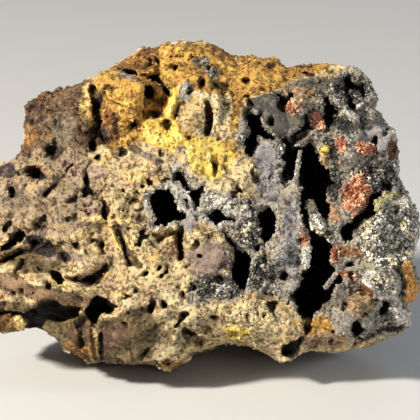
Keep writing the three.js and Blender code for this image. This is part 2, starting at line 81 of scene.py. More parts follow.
# The rock's mesh: its triangles, and how strongly its detail is spared, from the back's share to the front's
ROCK_TRIANGLES = 194000
DETAIL_WEIGHT = 20.0
DETAIL_RANGE = (0.2, 0.9)
DETAIL_HEIGHTS = (-5, 0)
WEIGHT_LEVELS = 10

# Lumps of the rock in millimetres: lattice cell, height and seed; the fine ones come after the hollows.
LUMPS = [(4.0, 0.2, 11), (2.2, 0.1, 12), (1.2, 0.04, 13)]
FINE_LUMPS = [(0.7, 0.03, 21), (0.4, 0.05, 22)]

# Lumps smaller than this are weaker in the smooth places, by this share.
FINE_LUMP_CELL = 2
CALMING = 0.8

# Raggedness of cut edges, and sway of the zones' edges: lattice cell, reach (in pixels for the sway) and seed
RAGGED = [(1.0, 0.5, 71), (0.5, 0.5, 72)]
SWAY = [(1.6, 2.5, 81), (0.7, 1.5, 82)]

# How much more the zones' edges sway on the stone's sides, and how far below the face that comes in
SIDE_STRAY = 6
SIDE_DEPTHS = (1.5, 4.5)

# Pores and grains: seed, how many, range of radius in millimetres, and how deep they sit in radii
PORES = [(31, 60, (0.3, 0.6), 0.3), (32, 2200, (0.14, 0.3), 0.4)]
GRAINS = [(41, 140, (0.4, 0.8), 0.85), (42, 1600, (0.2, 0.4), 0.75)]
STAMP_STRETCH = (0.6, 1.5)
STAMP_POWER = 4
STAMP_ROUGHNESS = 0.3
STAMP_REACH = 1.25
SILHOUETTE_LEVEL = -2.0

# How thickly pores and chips lie outside and inside the porous places, whose edges are this soft in pixels
PORE_COVER = (0.3, 1.6)
CHIP_COVER = (0.65, 1.25)
POROUS_SOFT_PX = 6

# Chips: cell in millimetres, tilt, gap between them in millimetres and seed
CHIPS = [(1.5, 0.06, 0.06, 51), (0.7, 0.09, 0.06, 52)]
CHIP_REACH = 0.7
CHIP_TABLE = 32
CHIP_SEED_RANGE = (0.12, 0.88)
CHIP_GAP_RANGE = (0.04, 0.26)
LEAST_COVER = 0.05

# The cut along the stone's edge: margin and cells of its table in pixels, and the millimetres that may stay
# outside the edge, first and at the end
EDGE_MARGIN_PX = 40
CELLS_PER_PX = 2
FIRST_SPARE = -0.2
LAST_SPARE = 0.1

# How hollows are filled and cut again, in millimetres or pixels
HOLLOW_RIM = 0.6
FILL_REACH = 1.1
SURFACE_SPREAD = 1.8
EDGE_PX = 12
CARVE_MARGIN = 1.5
EDGE_ROUGHNESS = 0.5
FLOOR_ROUGHNESS = 1.2
LIP_DEPTHS = (-0.1, 0.6)
HOLLOW_LIP = 0.2
SPOT_LIP = 0.12
CRACK_LIP = 0.04

# Hollows: depth in millimetres, how much they widen behind their lip, and outline in pixels of the view
HOLLOWS = {
    "cleft_upper": (8.5, 0.22, [
        (312, 141), (316, 148), (320, 154), (322, 166), (330, 172), (330, 179), (337, 184), (331, 188),
        (325, 197), (329, 203), (328, 213), (329, 223), (323, 220), (318, 212), (316, 205), (311, 200),
        (305, 203), (299, 205), (301, 194), (303, 188), (299, 180), (297, 166), (299, 153), (305, 147)]),
    "cleft_lower": (8.5, 0.2, [
        (299, 203), (305, 204), (307, 213), (310, 221), (313, 229), (319, 236), (326, 240), (333, 243),
        (332, 252), (330, 262), (335, 268), (338, 274), (345, 283), (336, 287), (333, 293), (330, 299),
        (320, 308), (309, 317), (301, 315), (297, 309), (297, 301), (293, 295), (299, 284), (304, 272),
        (310, 266), (311, 250), (310, 240), (306, 233), (303, 220), (301, 212)]),
    "right_slot": (5.5, 0.15, [
        (340, 229), (348, 221), (356, 213), (364, 208), (368, 200), (371, 190), (380, 193), (380, 197),
        (374, 200), (374, 207), (376, 213), (368, 217), (360, 219), (354, 227), (351, 232), (352, 238),
        (345, 243), (339, 240)]),
    "window": (6.5, 0.2, [
        (149, 203), (150, 198), (153, 194), (157, 191), (170, 190), (174, 195), (177, 205), (180, 210),
        (185, 213), (185, 217), (180, 221), (170, 224), (160, 227), (151, 226), (155, 219), (155, 214),
        (152, 210)]),
    "window_arm": (4.0, 0.1, [
        (175, 172), (179, 171), (183, 174), (186, 179), (190, 184), (191, 189), (195, 190), (200, 185),
        (204, 184), (205, 190), (202, 195), (203, 200), (200, 207), (197, 208), (193, 200), (188, 194),
        (182, 189), (175, 181)]),
    "upper_pair": (5.5, 0.15, [
        (246, 118), (249, 112), (257, 117), (260, 112), (263, 124), (270, 136), (274, 140), (266, 137),
        (257, 136), (258, 143), (252, 157), (247, 152), (241, 139), (250, 135), (248, 128), (246, 124)]),
    "behind_facet": (6.0, 0.15, [
        (280, 140), (286, 137), (289, 144), (294, 149), (299, 147), (298, 156), (296, 160), (293, 168),
        (293, 176), (289, 181), (283, 180), (281, 172), (286, 166), (284, 160), (280, 158), (284, 150)]),
    "notch_band": (3.0, 0.1, [
        (303, 116), (307, 113), (309, 121), (312, 129), (303, 132), (298, 136), (298, 143), (294, 146),
        (290, 140), (291, 135), (298, 129), (304, 123)]),
    "centre_left": (3.5, 0.1, [
        (207, 215), (213, 214), (216, 209), (222, 208), (222, 214), (227, 217), (238, 219), (238, 223),
        (228, 222), (218, 226), (212, 224), (208, 221)]),
    "centre_right": (5.5, 0.15, [
        (257, 211), (263, 213), (269, 208), (277, 214), (276, 228), (269, 240), (264, 245), (260, 233)]),
    "centre_bottom": (6.0, 0.15, [
        (221, 229), (228, 237), (236, 240), (240, 250), (249, 256), (250, 262), (248, 270), (249, 280),
        (244, 291), (240, 290), (234, 280), (231, 270), (234, 256), (231, 246), (224, 238)]),
    "under_tongue": (5.0, 0.3, [
        (-4, 312), (20, 312), (32, 309), (38, 307), (43, 302), (50, 301), (56, 304), (62, 308), (78, 309),
        (76, 313), (68, 318), (60, 322), (50, 321), (44, 323), (42, 328), (26, 330), (27, 322), (22, 315),
        (-4, 315)]),
    "tongue_tip": (5.0, 0.2, [
        (91, 303), (90, 300), (95, 293), (102, 297), (107, 300), (111, 305), (114, 309), (111, 312),
        (103, 314), (98, 318), (95, 327), (92, 327), (89, 318), (86, 311), (89, 307)]),
    "left_slot": (3.5, 0.1, [
        (0, 247), (8, 243), (14, 236), (20, 231), (26, 233), (22, 241), (12, 248), (0, 255)]),
    "left_gap": (1.8, 0.1, [
        (91, 84), (96, 86), (100, 93), (104, 101), (104, 107), (101, 113), (100, 120), (95, 119),
        (93, 110), (91, 94)]),
    "crevice": (2.4, 0.1, [
        (118, 68), (130, 71), (141, 73), (148, 75), (156, 73), (162, 76), (165, 84), (171, 90), (169, 96),
        (162, 91), (156, 83), (148, 79), (138, 77), (128, 73)]),
    "recess": (1.1, 0.1, [
        (146, 86), (156, 88), (166, 94), (167, 107), (158, 118), (146, 118), (141, 112), (145, 100)]),
    "block_hole": (3.4, 0.1, [(145, 86), (151, 85), (154, 90), (153, 96), (147, 96)]),
    "rust_hole": (2.2, 0.1, [(26, 170), (30, 167), (40, 170), (47, 179), (40, 180), (32, 178)]),
    "top_notch": (3.0, 0.1, [
        (275, 93), (280, 96), (284, 99), (289, 99), (291, 93), (294, 96), (291, 101), (284, 108),
        (280, 103), (278, 98)]),
    "corner_hollow": (3.4, 0.2, [
        (355, 85), (360, 83), (363, 81), (367, 89), (366, 97), (360, 98), (356, 91), (350, 90), (344, 88),
        (343, 80), (350, 78), (354, 82)]),
    "below_notch": (3.0, 0.1, [
        (322, 98), (330, 99), (334, 106), (336, 113), (328, 113), (323, 111), (326, 104)]),
    "blade_hole": (2.0, 0.1, [(346, 104), (350, 101), (355, 104), (353, 109), (348, 108)]),
    "eye_hollow": (2.2, 0.1, [(323, 117), (328, 115), (333, 120), (334, 127), (329, 128), (325, 123)]),
    "rim_hollow": (3.0, 0.1, [(380, 182), (386, 179), (390, 185), (388, 190), (380, 190)]),
    "lower_eye": (3.4, 0.2, [
        (351, 322), (357, 320), (361, 321), (362, 328), (359, 333), (355, 334), (351, 329)]),
    "lower_corner": (3.0, 0.2, [
        (380, 309), (384, 303), (389, 303), (387, 309), (384, 313), (381, 315), (378, 313)]),
    "lower_gap": (2.5, 0.1, [(383, 331), (390, 325), (396, 326), (404, 330), (396, 332)]),
    "foot_hollow": (3.0, 0.1, [(283, 346), (289, 341), (299, 341), (299, 349), (292, 356), (284, 355)]),
}

# Small dark holes: middle, half size and turn in the view, and depth in millimetres
SPOTS = [
    ((14, 193), (2.6, 4), 0, 1.4), ((52, 150), (5, 4), 30, 1.8), ((55, 144), (1.6, 2.4), 0, 1.0),
    ((44, 163), (1.6, 1.4), 0, 0.8), ((92, 146), (4, 4.4), 0, 2.2), ((123.5, 190), (2.4, 3), 0, 1.4),
    ((105, 209), (2.6, 8.5), 0, 1.8), ((56, 277), (7.5, 3.2), 42, 2.2), ((48, 284), (2.6, 3), 0, 1.2),
    ((190, 138), (3.2, 2), 25, 1.2), ((202, 80), (2, 4), 10, 1.4), ((214, 168), (1.4, 3.6), 0, 1.2),
    ((164, 305), (2.4, 4), 0, 2.0), ((151, 307), (1.8, 3.6), 15, 1.5), ((183.5, 314), (4, 2.8), -20, 1.8),
    ((214, 316), (3, 2.4), 0, 1.4), ((247, 315), (2.6, 3), 0, 1.6), ((248, 323), (2.4, 3.6), 0, 1.0),
    ((187, 337), (4, 2.4), -30, 1.2), ((191, 345), (4, 2.4), 40, 1.2), ((208, 330), (2, 4), 0, 1.0),
    ((201, 256), (1.1, 1.0), 0, 0.8), ((271, 124), (1.8, 2.6), 0, 1.4), ((284, 275), (2.4, 5), -10, 1.6),
    ((219, 277), (4, 2.6), 0, 1.4), ((196, 288), (4, 3), 0, 1.2), ((83, 193), (1.5, 2.6), 0, 1.0),
    ((353, 349), (4, 2), 0, 1.0), ((297, 262), (2, 4), 0, 1.4), ((403, 305), (2.6, 5), -10, 1.6),
    ((403, 294), (3, 3), 0, 1.4), ((348, 265), (3.4, 3), 0, 1.4), ((346, 307), (2, 2.6), 0, 1.0),
    ((102, 244), (3.4, 3.4), 0, 1.4), ((62, 226), (1.6, 1.6), 0, 0.8), ((77, 245), (1.6, 2), 0, 0.8),
    ((165.5, 258), (2.2, 3), 0, 1.2), ((160.5, 265), (1.5, 2.6), 0, 1.0),
    ((145, 274), (3.4, 2), -20, 1.0), ((138, 244), (2.6, 3), 0, 1.0), ((149, 181), (1.8, 7), 5, 1.0),
    ((142, 187), (2, 2.4), 0, 0.8), ((134, 124), (2.6, 3.4), 0, 1.2), ((138, 135), (2.2, 4.4), 15, 1.2),
    ((363, 176), (2.6, 2.4), 0, 1.4), ((360, 229), (4, 5.4), 30, 1.4), ((385, 131), (1.8, 1.6), 0, 0.7),
    ((372, 158), (5, 2), 0, 0.8), ((395, 214), (2, 4), 0, 1.0), ((393, 276), (2.4, 3.4), 0, 1.0),
    ((329.5, 233), (3, 1.8), 0, 1.0), ((301, 66), (3, 3.4), 0, 1.4), ((273, 66), (3, 2), 10, 1.2),
    ((246, 80), (4.4, 2.4), 0, 1.4), ((175, 71), (2, 3), 0, 1.2), ((115, 329), (1.8, 2.4), 0, 0.8),
    ((273, 333), (1.4, 3), 10, 1.0), ((284, 334), (2, 3), -20, 1.0), ((170, 364), (4, 2), 0, 1.0),
    ((271, 306), (2, 3), -35, 0.9),
]

# Cracks: points in the view, half width in pixels, and depth in millimetres
CRACKS = [
    (((44, 196), (52, 187), (56, 183), (64, 176)), 0.4, 0.7),
    (((97, 157), (90, 163), (86, 169), (87, 182)), 1.4, 1.3),
    (((85, 186), (90, 191), (100, 198)), 0.5, 0.8), (((79, 191), (76, 197), (71, 200)), 0.6, 0.8),
    (((206, 100), (210, 109), (211, 121), (207, 134)), 0.8, 0.5),
    (((181, 221), (178, 229), (179, 242), (183, 249), (181, 258)), 1.0, 1.2),
    (((100, 271), (106, 267), (115, 262)), 1.3, 1.2), (((182, 317), (178, 323), (175, 326)), 0.8, 0.9),
    (((9, 222), (5, 229)), 0.8, 0.8), (((24, 261), (20, 267), (15, 271), (17, 276)), 1.2, 1.2),
    (((113, 226), (119, 234), (123, 246), (126, 256), (134, 266)), 1.4, 1.0),
    (((239, 240), (232, 236), (222, 228)), 1.0, 1.0), (((229, 174), (236, 184), (243, 194)), 0.5, 0.8),
    (((266, 137), (272, 143), (276, 150), (278, 158)), 0.8, 1.4), (((250, 101), (255, 107)), 0.7, 0.8),
    (((66, 171), (78, 158), (83, 146)), 0.5, 0.7), (((148, 156), (162, 162)), 0.5, 0.6),
    (((161, 240), (157, 248), (160, 254)), 0.8, 0.8), (((140, 240), (146, 237), (152, 234)), 0.8, 0.8),
    (((159, 276), (167, 272)), 0.5, 0.7), (((361, 139), (367, 142)), 0.6, 0.8),
    (((369, 145), (374, 143), (376, 137)), 0.5, 0.6), (((101, 332), (101, 346), (101, 357)), 0.4, 0.7),
    (((152, 343), (146, 352), (140, 360)), 1.8, 1.0), (((303, 73), (309, 74), (314, 75)), 0.7, 0.9),
    (((242, 96), (248, 96)), 0.8, 0.9), (((308, 322), (306, 334), (300, 340)), 0.8, 0.9),
    (((182, 292), (184, 300)), 0.7, 0.8), (((262, 214), (264, 236), (258, 250)), 0.6, 0.8),
    (((94, 130), (100, 136), (106, 141)), 1.2, 0.7), (((330, 320), (336, 324), (333, 330)), 0.8, 0.8),
    (((186, 200), (189, 205), (186, 210)), 0.5, 0.6), (((118, 361), (132, 364), (150, 363)), 0.8, 0.9),
]

# The stone's edge in the view
EDGE = [
    (-12, 176), (0, 163), (16, 154), (24, 137), (21, 122), (24, 107), (32, 99), (48, 90), (67, 85),
    (83, 80), (98, 76), (118, 62), (134, 54), (142, 46), (157, 48), (166, 42), (188, 40), (209, 41),
    (222, 48), (233, 55), (257, 56), (276, 59), (288, 66), (297, 62), (321, 61), (351, 64), (360, 68),
    (367, 80), (377, 99), (375, 107), (386, 123), (397, 129), (397, 150), (399, 166), (396, 174),
    (402, 188), (411, 202), (417, 214), (418, 230), (410, 260), (418, 279), (420, 289), (415, 300),
    (408, 303), (412, 324), (402, 332), (386, 338), (359, 350), (340, 352), (303, 351), (292, 360),
    (279, 362), (271, 356), (257, 350), (236, 343), (214, 348), (193, 355), (188, 362), (171, 372),
    (163, 372), (154, 363), (134, 364), (99, 362), (87, 363), (78, 354), (64, 351), (59, 340), (46, 332),
    (35, 328), (21, 330), (0, 334), (-14, 332), (-30, 250),
]

# Ridges and grooves of the face: path, half width in pixels and rise in millimetres. Then the shares of that
# width over which they fade, and the depths below the face over which they come in.
FORMS = [
    (((98, 79), (112, 72), (128, 76), (143, 85)), 4, 0.7), (((100, 118), (97, 128), (92, 142)), 4, -1.0),
    (((157, 62), (159, 68), (160, 78)), 4, -0.8), (((168, 86), (174, 100), (170, 116)), 5, 0.8),
    (((206, 102), (210, 118), (207, 134)), 4, -0.4), (((216, 92), (218, 104), (216, 130)), 4, 0.5),
    (((28, 281), (58, 287), (84, 296), (91, 301)), 4, 0.8),
    (((0, 262), (22, 252), (58, 250), (66, 258)), 5, -1.0),
    (((84, 222), (104, 219), (122, 222), (140, 228)), 3, 0.5),
    (((112, 222), (114, 238), (124, 252)), 3, 0.5), (((118, 232), (126, 250), (140, 266)), 4, -0.7),
    (((140, 232), (156, 238), (170, 232)), 5, -0.6), (((90, 306), (89, 330), (92, 356)), 2.5, 0.5),
    (((84, 320), (82, 344)), 5, -0.8), (((150, 300), (170, 320), (190, 340)), 6, 0.3),
    (((184, 330), (200, 342)), 6, -0.9), (((296, 196), (302, 214), (302, 236)), 3, 0.6),
    (((244, 206), (254, 214), (260, 240)), 3, 0.6), (((228, 236), (236, 250), (246, 262)), 4, -0.5),
    (((334, 100), (346, 110), (356, 120)), 4, 0.9),
    (((262, 128), (276, 138), (292, 142), (304, 134)), 4, -1.2),
    (((352, 68), (366, 80), (374, 98)), 3, 0.5), (((340, 88), (352, 100), (330, 116)), 6, -1.0),
    (((364, 282), (380, 294), (392, 306), (402, 318)), 4, 0.8),
    (((352, 344), (380, 330), (404, 326)), 4, -0.8), (((372, 170), (384, 176), (390, 190)), 5, -0.9),
    (((398, 268), (404, 284), (400, 300)), 3, -0.7), (((20, 238), (42, 246), (60, 244)), 5, -0.7),
    (((66, 280), (88, 280), (98, 274)), 4, -0.8), (((60, 150), (44, 172), (30, 160)), 6, -0.3),
    (((182, 226), (180, 246), (186, 266)), 3, -0.6), (((196, 272), (216, 272), (236, 274)), 3, 0.4),
]
FORM_EDGE = (0.2, 1.3)
FORM_DEPTHS = (-5, -3)

# Angular blocks that stand on the face: middle in the view, half sizes across, up and out in millimetres,
# turn in the view, and how far their middle lies above the surface
BLOCKS = [
    ((119, 89), (2.9, 1.55, 1.7), 21, -0.5),
    ((206, 250), (2.2, 2.3, 1.0), 8, -0.6),
    ((277, 113), (3.3, 2.0, 1.4), 12, -0.9),
    ((376, 136), (1.8, 1.2, 1.0), 20, -0.5),
    ((196, 84), (1.9, 1.0, 0.9), -6, -0.5),
    ((347, 110), (1.6, 0.5, 1.0), 45, 0.1),
]
BLOCK_LEAN = (0.1, 0.15)
BLOCK_ROUGHNESS = 0.5
BLOCK_POWER = 10

# Zones of the view that broke smooth, and zones full of pores
SMOOTH_PLACES = [
    [(250, 100), (262, 95), (274, 94), (286, 100), (300, 97), (304, 110), (300, 128), (286, 137),
     (266, 131), (252, 118)],
    ((208, 256), (14, 12), 0), ((114, 338), (12, 12), 0), ((30, 288), (30, 5), 13),
    ((266, 156), (9, 12), 0), ((378, 138), (14, 11), 0), ((184, 88), (7, 8), 0),
    ((345, 320), (14, 12), 0), ((186, 222), (6, 8), 0), ((344, 108), (10, 5), 45),
]
POROUS_PLACES = [
    [(76, 98), (92, 100), (112, 112), (140, 108), (142, 132), (120, 140), (100, 146), (84, 130)],
    ((150, 60), (16, 10), 0), ((40, 110), (22, 16), 20), ((128, 205), (20, 16), 0),
    ((150, 238), (22, 22), 0), ((210, 165), (24, 10), 30), ((250, 318), (36, 14), 0),
    ((188, 336), (16, 10), 0), ((95, 205), (20, 14), 0), ((330, 100), (24, 24), 0),
    ((380, 165), (18, 22), 0), ((222, 285), (22, 12), 0), ((250, 240), (18, 34), 0),
]

# The ochre lump at the right edge, which two zones colour
RIGHT_LUMP = [(402, 264), (410, 262), (416, 278), (421, 288), (416, 300), (406, 303), (410, 284), (404, 276)]

# Zones of colour in the view, later ones over earlier ones: edge width in pixels, darker, lighter and fleck
# tint, and shapes. A shape is an outline, or an ellipse with its middle, half size and turn.
ZONES = {
    # Own dusty tan, darkened as painted shade towards the left edge
    "dusty_and_shaded": (12, [(80, 62, 45), (190, 167, 137), (190, 158, 102)], [
        [(-20, 170), (30, 150), (88, 148), (100, 186), (92, 226), (58, 238), (20, 236), (-20, 250)]]),
    "brown": (8, [(50, 34, 20), (144, 115, 83), (158, 124, 86)], [
        [(20, 96), (60, 84), (90, 80), (88, 120), (88, 146), (60, 150), (28, 152), (10, 160)]]),
    # Own olive tan, darkened as painted shade towards the lower left
    "olive_and_shaded": (9, [(40, 30, 18), (122, 103, 68), (138, 116, 68)], [
        [(-20, 302), (40, 300), (100, 318), (150, 306), (160, 330), (150, 364), (96, 366), (60, 350),
         (20, 334), (-20, 336)],
        ((30, 262), (34, 10), 14)]),
    "ochre": (6, [(78, 46, 16), (204, 156, 76), (236, 192, 96)], [
        [(92, 78), (116, 60), (160, 44), (216, 44), (262, 58), (300, 62), (334, 62), (316, 74), (300, 76),
         (284, 86), (262, 92), (240, 100), (240, 130), (222, 124), (196, 140), (170, 152), (140, 140),
         (112, 150), (92, 134), (84, 104)],
        ((393, 242), (7, 10), 0), ((320, 328), (14, 9), -20), ((64, 136), (5, 16), 20)]),
    "gold": (4, [(136, 86, 26), (234, 184, 92), (250, 206, 104)], [
        [(97, 80), (108, 72), (128, 76), (146, 84), (145, 100), (138, 107), (105, 108), (100, 92)],
        [(158, 50), (174, 46), (198, 50), (198, 76), (180, 84), (168, 78), (160, 66)],
        ((258, 74), (26, 11), -10)]),
    "yellow": (4, [(206, 146, 50), (255, 228, 112), (255, 236, 160)], [
        [(168, 86), (180, 84), (181, 100), (178, 118), (164, 122), (166, 106)],
        [(140, 122), (158, 116), (176, 118), (182, 140), (172, 154), (156, 146), (142, 136)],
        [(184, 142), (204, 134), (232, 142), (240, 156), (236, 172), (214, 180), (200, 176), (188, 158)],
        ((238, 333), (11, 8), 0)]),
    "cream": (8, [(164, 130, 80), (255, 234, 180), (200, 186, 156)], [
        [(180, 90), (206, 92), (228, 92), (232, 110), (228, 132), (206, 138), (190, 132), (180, 116)],
        ((242, 176), (18, 16), 20), ((215, 205), (20, 12), 20), ((250, 315), (44, 14), 2),
        ((176, 300), (14, 34), 0), ((168, 345), (9, 18), 0)]),
    "buff": (6, [(128, 100, 60), (224, 194, 138), (180, 156, 112)], [((189, 112), (13, 20), 0)]),
    "rust": (5, [(44, 22, 8), (146, 98, 46), (196, 148, 80)], [
        [(110, 68), (134, 52), (142, 46), (158, 47), (160, 60), (152, 72), (132, 70)],
        ((220, 53), (16, 8), 25), ((300, 66), (10, 5), 0), ((32, 101), (13, 7), -25),
        ((27, 138), (5, 12), 25), ((272, 66), (7, 4), 0), ((170, 364), (11, 7), 0),
        ((10, 323), (18, 8), -5), ((70, 300), (8, 5), 0), ((36, 174), (9, 6), 20),
        ((110, 127), (12, 18), 20), ((80, 350), (16, 8), 20)]),
    # Own dark brown, and painted shadow in the gap left of the block and along shadow lines
    "umber_and_shadow": (4, [(30, 18, 12), (104, 78, 58), (140, 112, 84)], [
        ((34, 112), (13, 12), 0), ((136, 149), (9, 3.5), 40), ((112, 336), (13, 16), 0),
        ((98, 112), (4, 24), 10), ((80, 334), (16, 12), 0), ((100, 136), (12, 10), 30)]),
    "straw": (4, [(146, 112, 58), (248, 216, 144), (252, 226, 160)], [
        ((137, 178), (13, 7), 0), ((97, 220), (14, 4), 5), ((120, 219), (12, 4), -5),
        ((116, 240), (5, 16), -25), ((86, 100), (6, 18), 5), ((60, 284), (12, 4), 30),
        ((86, 296), (7, 4), 20), ((95, 342), (2.4, 16), -8), ((20, 322), (6, 7), 0)]),
    "amber": (3, [(98, 50, 14), (242, 158, 64), (252, 200, 108)], [
        [(144, 100), (156, 92), (166, 96), (166, 106), (158, 116), (144, 116), (141, 108)],
        RIGHT_LUMP]),
    "grey": (6, [(52, 48, 42), (196, 188, 174), (178, 162, 134)], [
        [(352, 64), (338, 74), (314, 84), (292, 88), (262, 97), (246, 102), (240, 118), (236, 136),
         (252, 150), (256, 176), (260, 200), (240, 199), (222, 190), (206, 186), (194, 178), (184, 164),
         (172, 160), (162, 184), (146, 190), (144, 206), (150, 230), (180, 228), (192, 224), (214, 216),
         (224, 228), (234, 250), (230, 274), (206, 276), (190, 284), (190, 304), (232, 300), (250, 292),
         (276, 296), (294, 308), (310, 318), (322, 313), (334, 324), (338, 344), (402, 334), (430, 300),
         (430, 150), (396, 100), (372, 60)],
        ((184, 91), (8, 10), 30)]),
    "mauve": (5, [(84, 66, 58), (170, 150, 136), (164, 144, 120)], [
        ((126, 75), (11, 3), 12), ((149, 156), (12, 3), 25), ((209, 258), (21, 14), 0),
        ((66, 256), (20, 5), 0), ((204, 272), (16, 6), 0)]),
    "rose": (4, [(118, 92, 78), (204, 174, 154), (190, 166, 134)], [
        ((100, 173), (9, 7), 0), ((92, 211), (8, 7), 0), ((72, 168), (7, 12), -20)]),
    "clay": (5, [(74, 54, 38), (162, 130, 98), (150, 124, 90)], [
        ((12, 284), (20, 10), 20), ((54, 295), (40, 8), 10)]),
    "ash": (8, [(54, 44, 34), (156, 140, 114), (104, 88, 64)], [
        ((14, 200), (14, 10), 0), ((202, 65), (8, 6), 30),
        [(50, 120), (62, 108), (74, 116), (76, 134), (68, 150), (58, 160), (44, 162), (42, 150),
         (54, 136)]]),
    "stone": (5, [(54, 49, 43), (144, 134, 117), (124, 112, 96)], [
        ((275, 96), (24, 4), -10), ((300, 88), (14, 7), 0), ((246, 128), (5, 18), 10),
        ((318, 84), (22, 7), 0), ((296, 122), (7, 9), 30), ((344, 298), (10, 12), 10),
        ((326, 304), (7, 9), 40), ((304, 138), (7, 5), -30), ((312, 208), (6, 9), 0),
        ((284, 112), (5, 12), -20)]),
    "slate": (3, [(12, 12, 11), (90, 86, 80), (124, 119, 110)], [
        [(249, 99), (262, 94), (276, 93), (282, 108), (286, 118), (292, 128), (286, 137), (270, 134),
         (264, 124), (258, 112), (250, 110)]]),
    "tan": (4, [(78, 58, 38), (206, 168, 126), (160, 142, 112)], [
        [(328, 198), (335, 200), (342, 214), (340, 226), (332, 222), (328, 212)],
        ((326, 162), (4, 9), -20), ((300, 96), (16, 8), 10), ((360, 304), (12, 12), 0),
        ((326, 340), (24, 8), 0), ((362, 252), (8, 8), 0)]),
    "lilac": (3, [(90, 85, 84), (184, 178, 176), (122, 113, 104)], [
        [(257, 146), (262, 141), (268, 146), (274, 152), (277, 162), (278, 176), (282, 186), (280, 202),
         (264, 204), (260, 176), (254, 158)],
        [(361, 136), (366, 129), (373, 126), (386, 128), (391, 134), (391, 146), (384, 152), (376, 151),
         (369, 146)],
        [(177, 192), (186, 190), (192, 198), (196, 212), (192, 230), (181, 229), (184, 212), (180, 204)],
        ((292, 222), (8, 26), 0), ((364, 327), (5, 6), 0), ((386, 316), (7, 8), 0),
        ((288, 266), (12, 16), 0)]),
    # Pale crystals; the strips along the right edge are also painted highlight where the side light falls
    "pale": (3, [(156, 150, 136), (248, 244, 234), (170, 158, 128)], [
        ((357, 102), (3, 6.5), 0), ((410, 234), (7, 24), -4), ((372, 280), (12, 8), 30),
        [(196, 196), (212, 191), (236, 202), (244, 212), (228, 214), (206, 208)],
        [(384, 288), (394, 292), (402, 304), (413, 314), (412, 326), (400, 328), (396, 314), (386, 300)],
        [(302, 244), (310, 246), (311, 262), (306, 270), (301, 262)],
        ((394, 134), (4, 6), -10), ((397, 164), (2.4, 7), 0), ((405, 204), (5, 8), -30)]),
    "green": (4, [(110, 104, 48), (214, 206, 140), (60, 54, 40)], [
        ((379, 204), (6, 7), 0), ((391, 195), (8, 5), -10), ((376, 222), (6, 3), 0),
        ((366, 266), (6, 4), 0)]),
    "violet": (4, [(16, 11, 13), (60, 48, 52), (110, 94, 86)], [
        ((42, 246), (19, 8), 22), ((90, 281), (9, 4.5), -30), ((6, 172), (12, 7), 0)]),
    "carmine": (3, [(110, 44, 28), (206, 132, 98), (222, 190, 150)], [
        ((356, 193), (13, 19), 15), ((293, 107), (8, 7), 0), ((316, 121), (5, 11), -30),
        ((341, 146), (4, 8), 0), ((359, 147), (4, 7), 0), ((373, 150), (4, 3), 0),
        ((305, 239), (4, 8), 0), ((335, 258), (4, 10), -20), ((338, 246), (4, 4), 0),
        ((350, 276), (7, 4), 0), ((339, 163), (3, 4), 0)]),
    "druse": (4, [(10, 9, 8), (210, 204, 190), (96, 90, 74)], [
        ((216, 288), (24, 11), 0),
        [(238, 198), (256, 206), (260, 230), (256, 252), (242, 244), (236, 224)],
        ((260, 274), (14, 18), 0), ((350, 88), (22, 16), 0), ((330, 106), (10, 8), 20),
        ((336, 124), (14, 8), 0), ((282, 150), (6, 12), -30), ((378, 176), (20, 16), 0),
        ((334, 186), (6, 14), 0), ((206, 64), (5, 4), 30), ((213, 74), (4, 7), -30),
        ((250, 138), (9, 5), 0), ((382, 322), (10, 10), 0), ((330, 150), (8, 12), 0)]),
    # Glittering druse; its near-white grains are partly painted glints
    "boss": (5, [(66, 62, 52), (255, 253, 240), (224, 204, 156)], [
        [(362, 218), (380, 210), (398, 202), (412, 208), (418, 228), (412, 252), (402, 264), (384, 270),
         (366, 262), (356, 244)],
        ((322, 230), (14, 10), 30), ((382, 282), (14, 8), 30), ((248, 232), (8, 12), 0)]),
    "coal": (4, [(7, 6, 5), (138, 133, 122), (74, 68, 56)], [
        ((336, 124), (12, 8), 0), ((334, 182), (6, 14), 0), ((331, 152), (8, 12), 0),
        ((350, 86), (16, 12), -20)]),
    "honey": (3, [(118, 68, 26), (252, 180, 84), (250, 206, 130)], [RIGHT_LUMP]),
    "russet": (3, [(48, 25, 14), (146, 102, 66), (170, 130, 84)], [
        ((345, 252), (12, 6), 10), ((366, 290), (8, 5), 20), ((392, 148), (4, 12), 0)]),
    "bead": (1, [(255, 186, 74), (255, 214, 110), (255, 220, 130)], [((325, 150), (6, 6), 0)]),
    "frost": (2, [(100, 94, 84), (214, 208, 196), (170, 158, 134)], [
        [(145, 206), (146, 196), (152, 189), (160, 186), (172, 186), (179, 196), (185, 208), (189, 214),
         (184, 223), (170, 228), (150, 230), (150, 218)],
        [(172, 171), (178, 167), (187, 176), (194, 186), (203, 181), (209, 188), (205, 204), (198, 211),
         (188, 198)],
        [(204, 216), (212, 210), (218, 205), (226, 208), (230, 214), (242, 217), (241, 226), (218, 229),
         (208, 226)],
        [(333, 98), (338, 98), (345, 103), (350, 110), (356, 115), (357, 120), (351, 119), (343, 114),
         (337, 106)],
        ((248, 211), (12, 7), 30)]),
}

# Zones where each grain has a tint of its own, from dark to pale; the pale grains are partly painted glints
SPECKLED = ["druse", "boss", "coal"]

# Zones that show only in part of the crumbs, as the range of crumb noise over which they come in
PATCHY = {"carmine": (0.3, 0.6), "rust": (0.1, 0.4), "green": (0.3, 0.5), "druse": (0.0, 0.2)}

# How flecks come into a zone and how ragged its edge is, as ranges of noise
FLECKS = (0.53, 0.6)
RAGGED_EDGE = (0.55, 0.8)

# Painted shade in patches of the druse, for the gaps between its crystals: range of noise, and how dark it is
DRUSE_GAP_SHADE = (0.42, 0.5)
DRUSE_GAP_SHADE_SHARE = 0.85

# Edge width in pixels of the places that only weigh something
SOFT_PX = 4

# Distances from a hollow's rim and depths in it over which painted shade darkens it, in millimetres
DARK_RIM = (0.5, -0.3)
DARK_DEPTHS = (0.5, 2.6)

# Reach of the smoothing that tells raised from sunken, in millimetres; it sets the painted light of the
# relief
RAISED_REACH = 0.5

# Tints of the rock where no zone colours it: darker and lighter, in front and behind
BASE_TINTS = [(104, 76, 44), (250, 222, 168)]
BACK_TINTS = [(92, 58, 30), (190, 150, 98)]

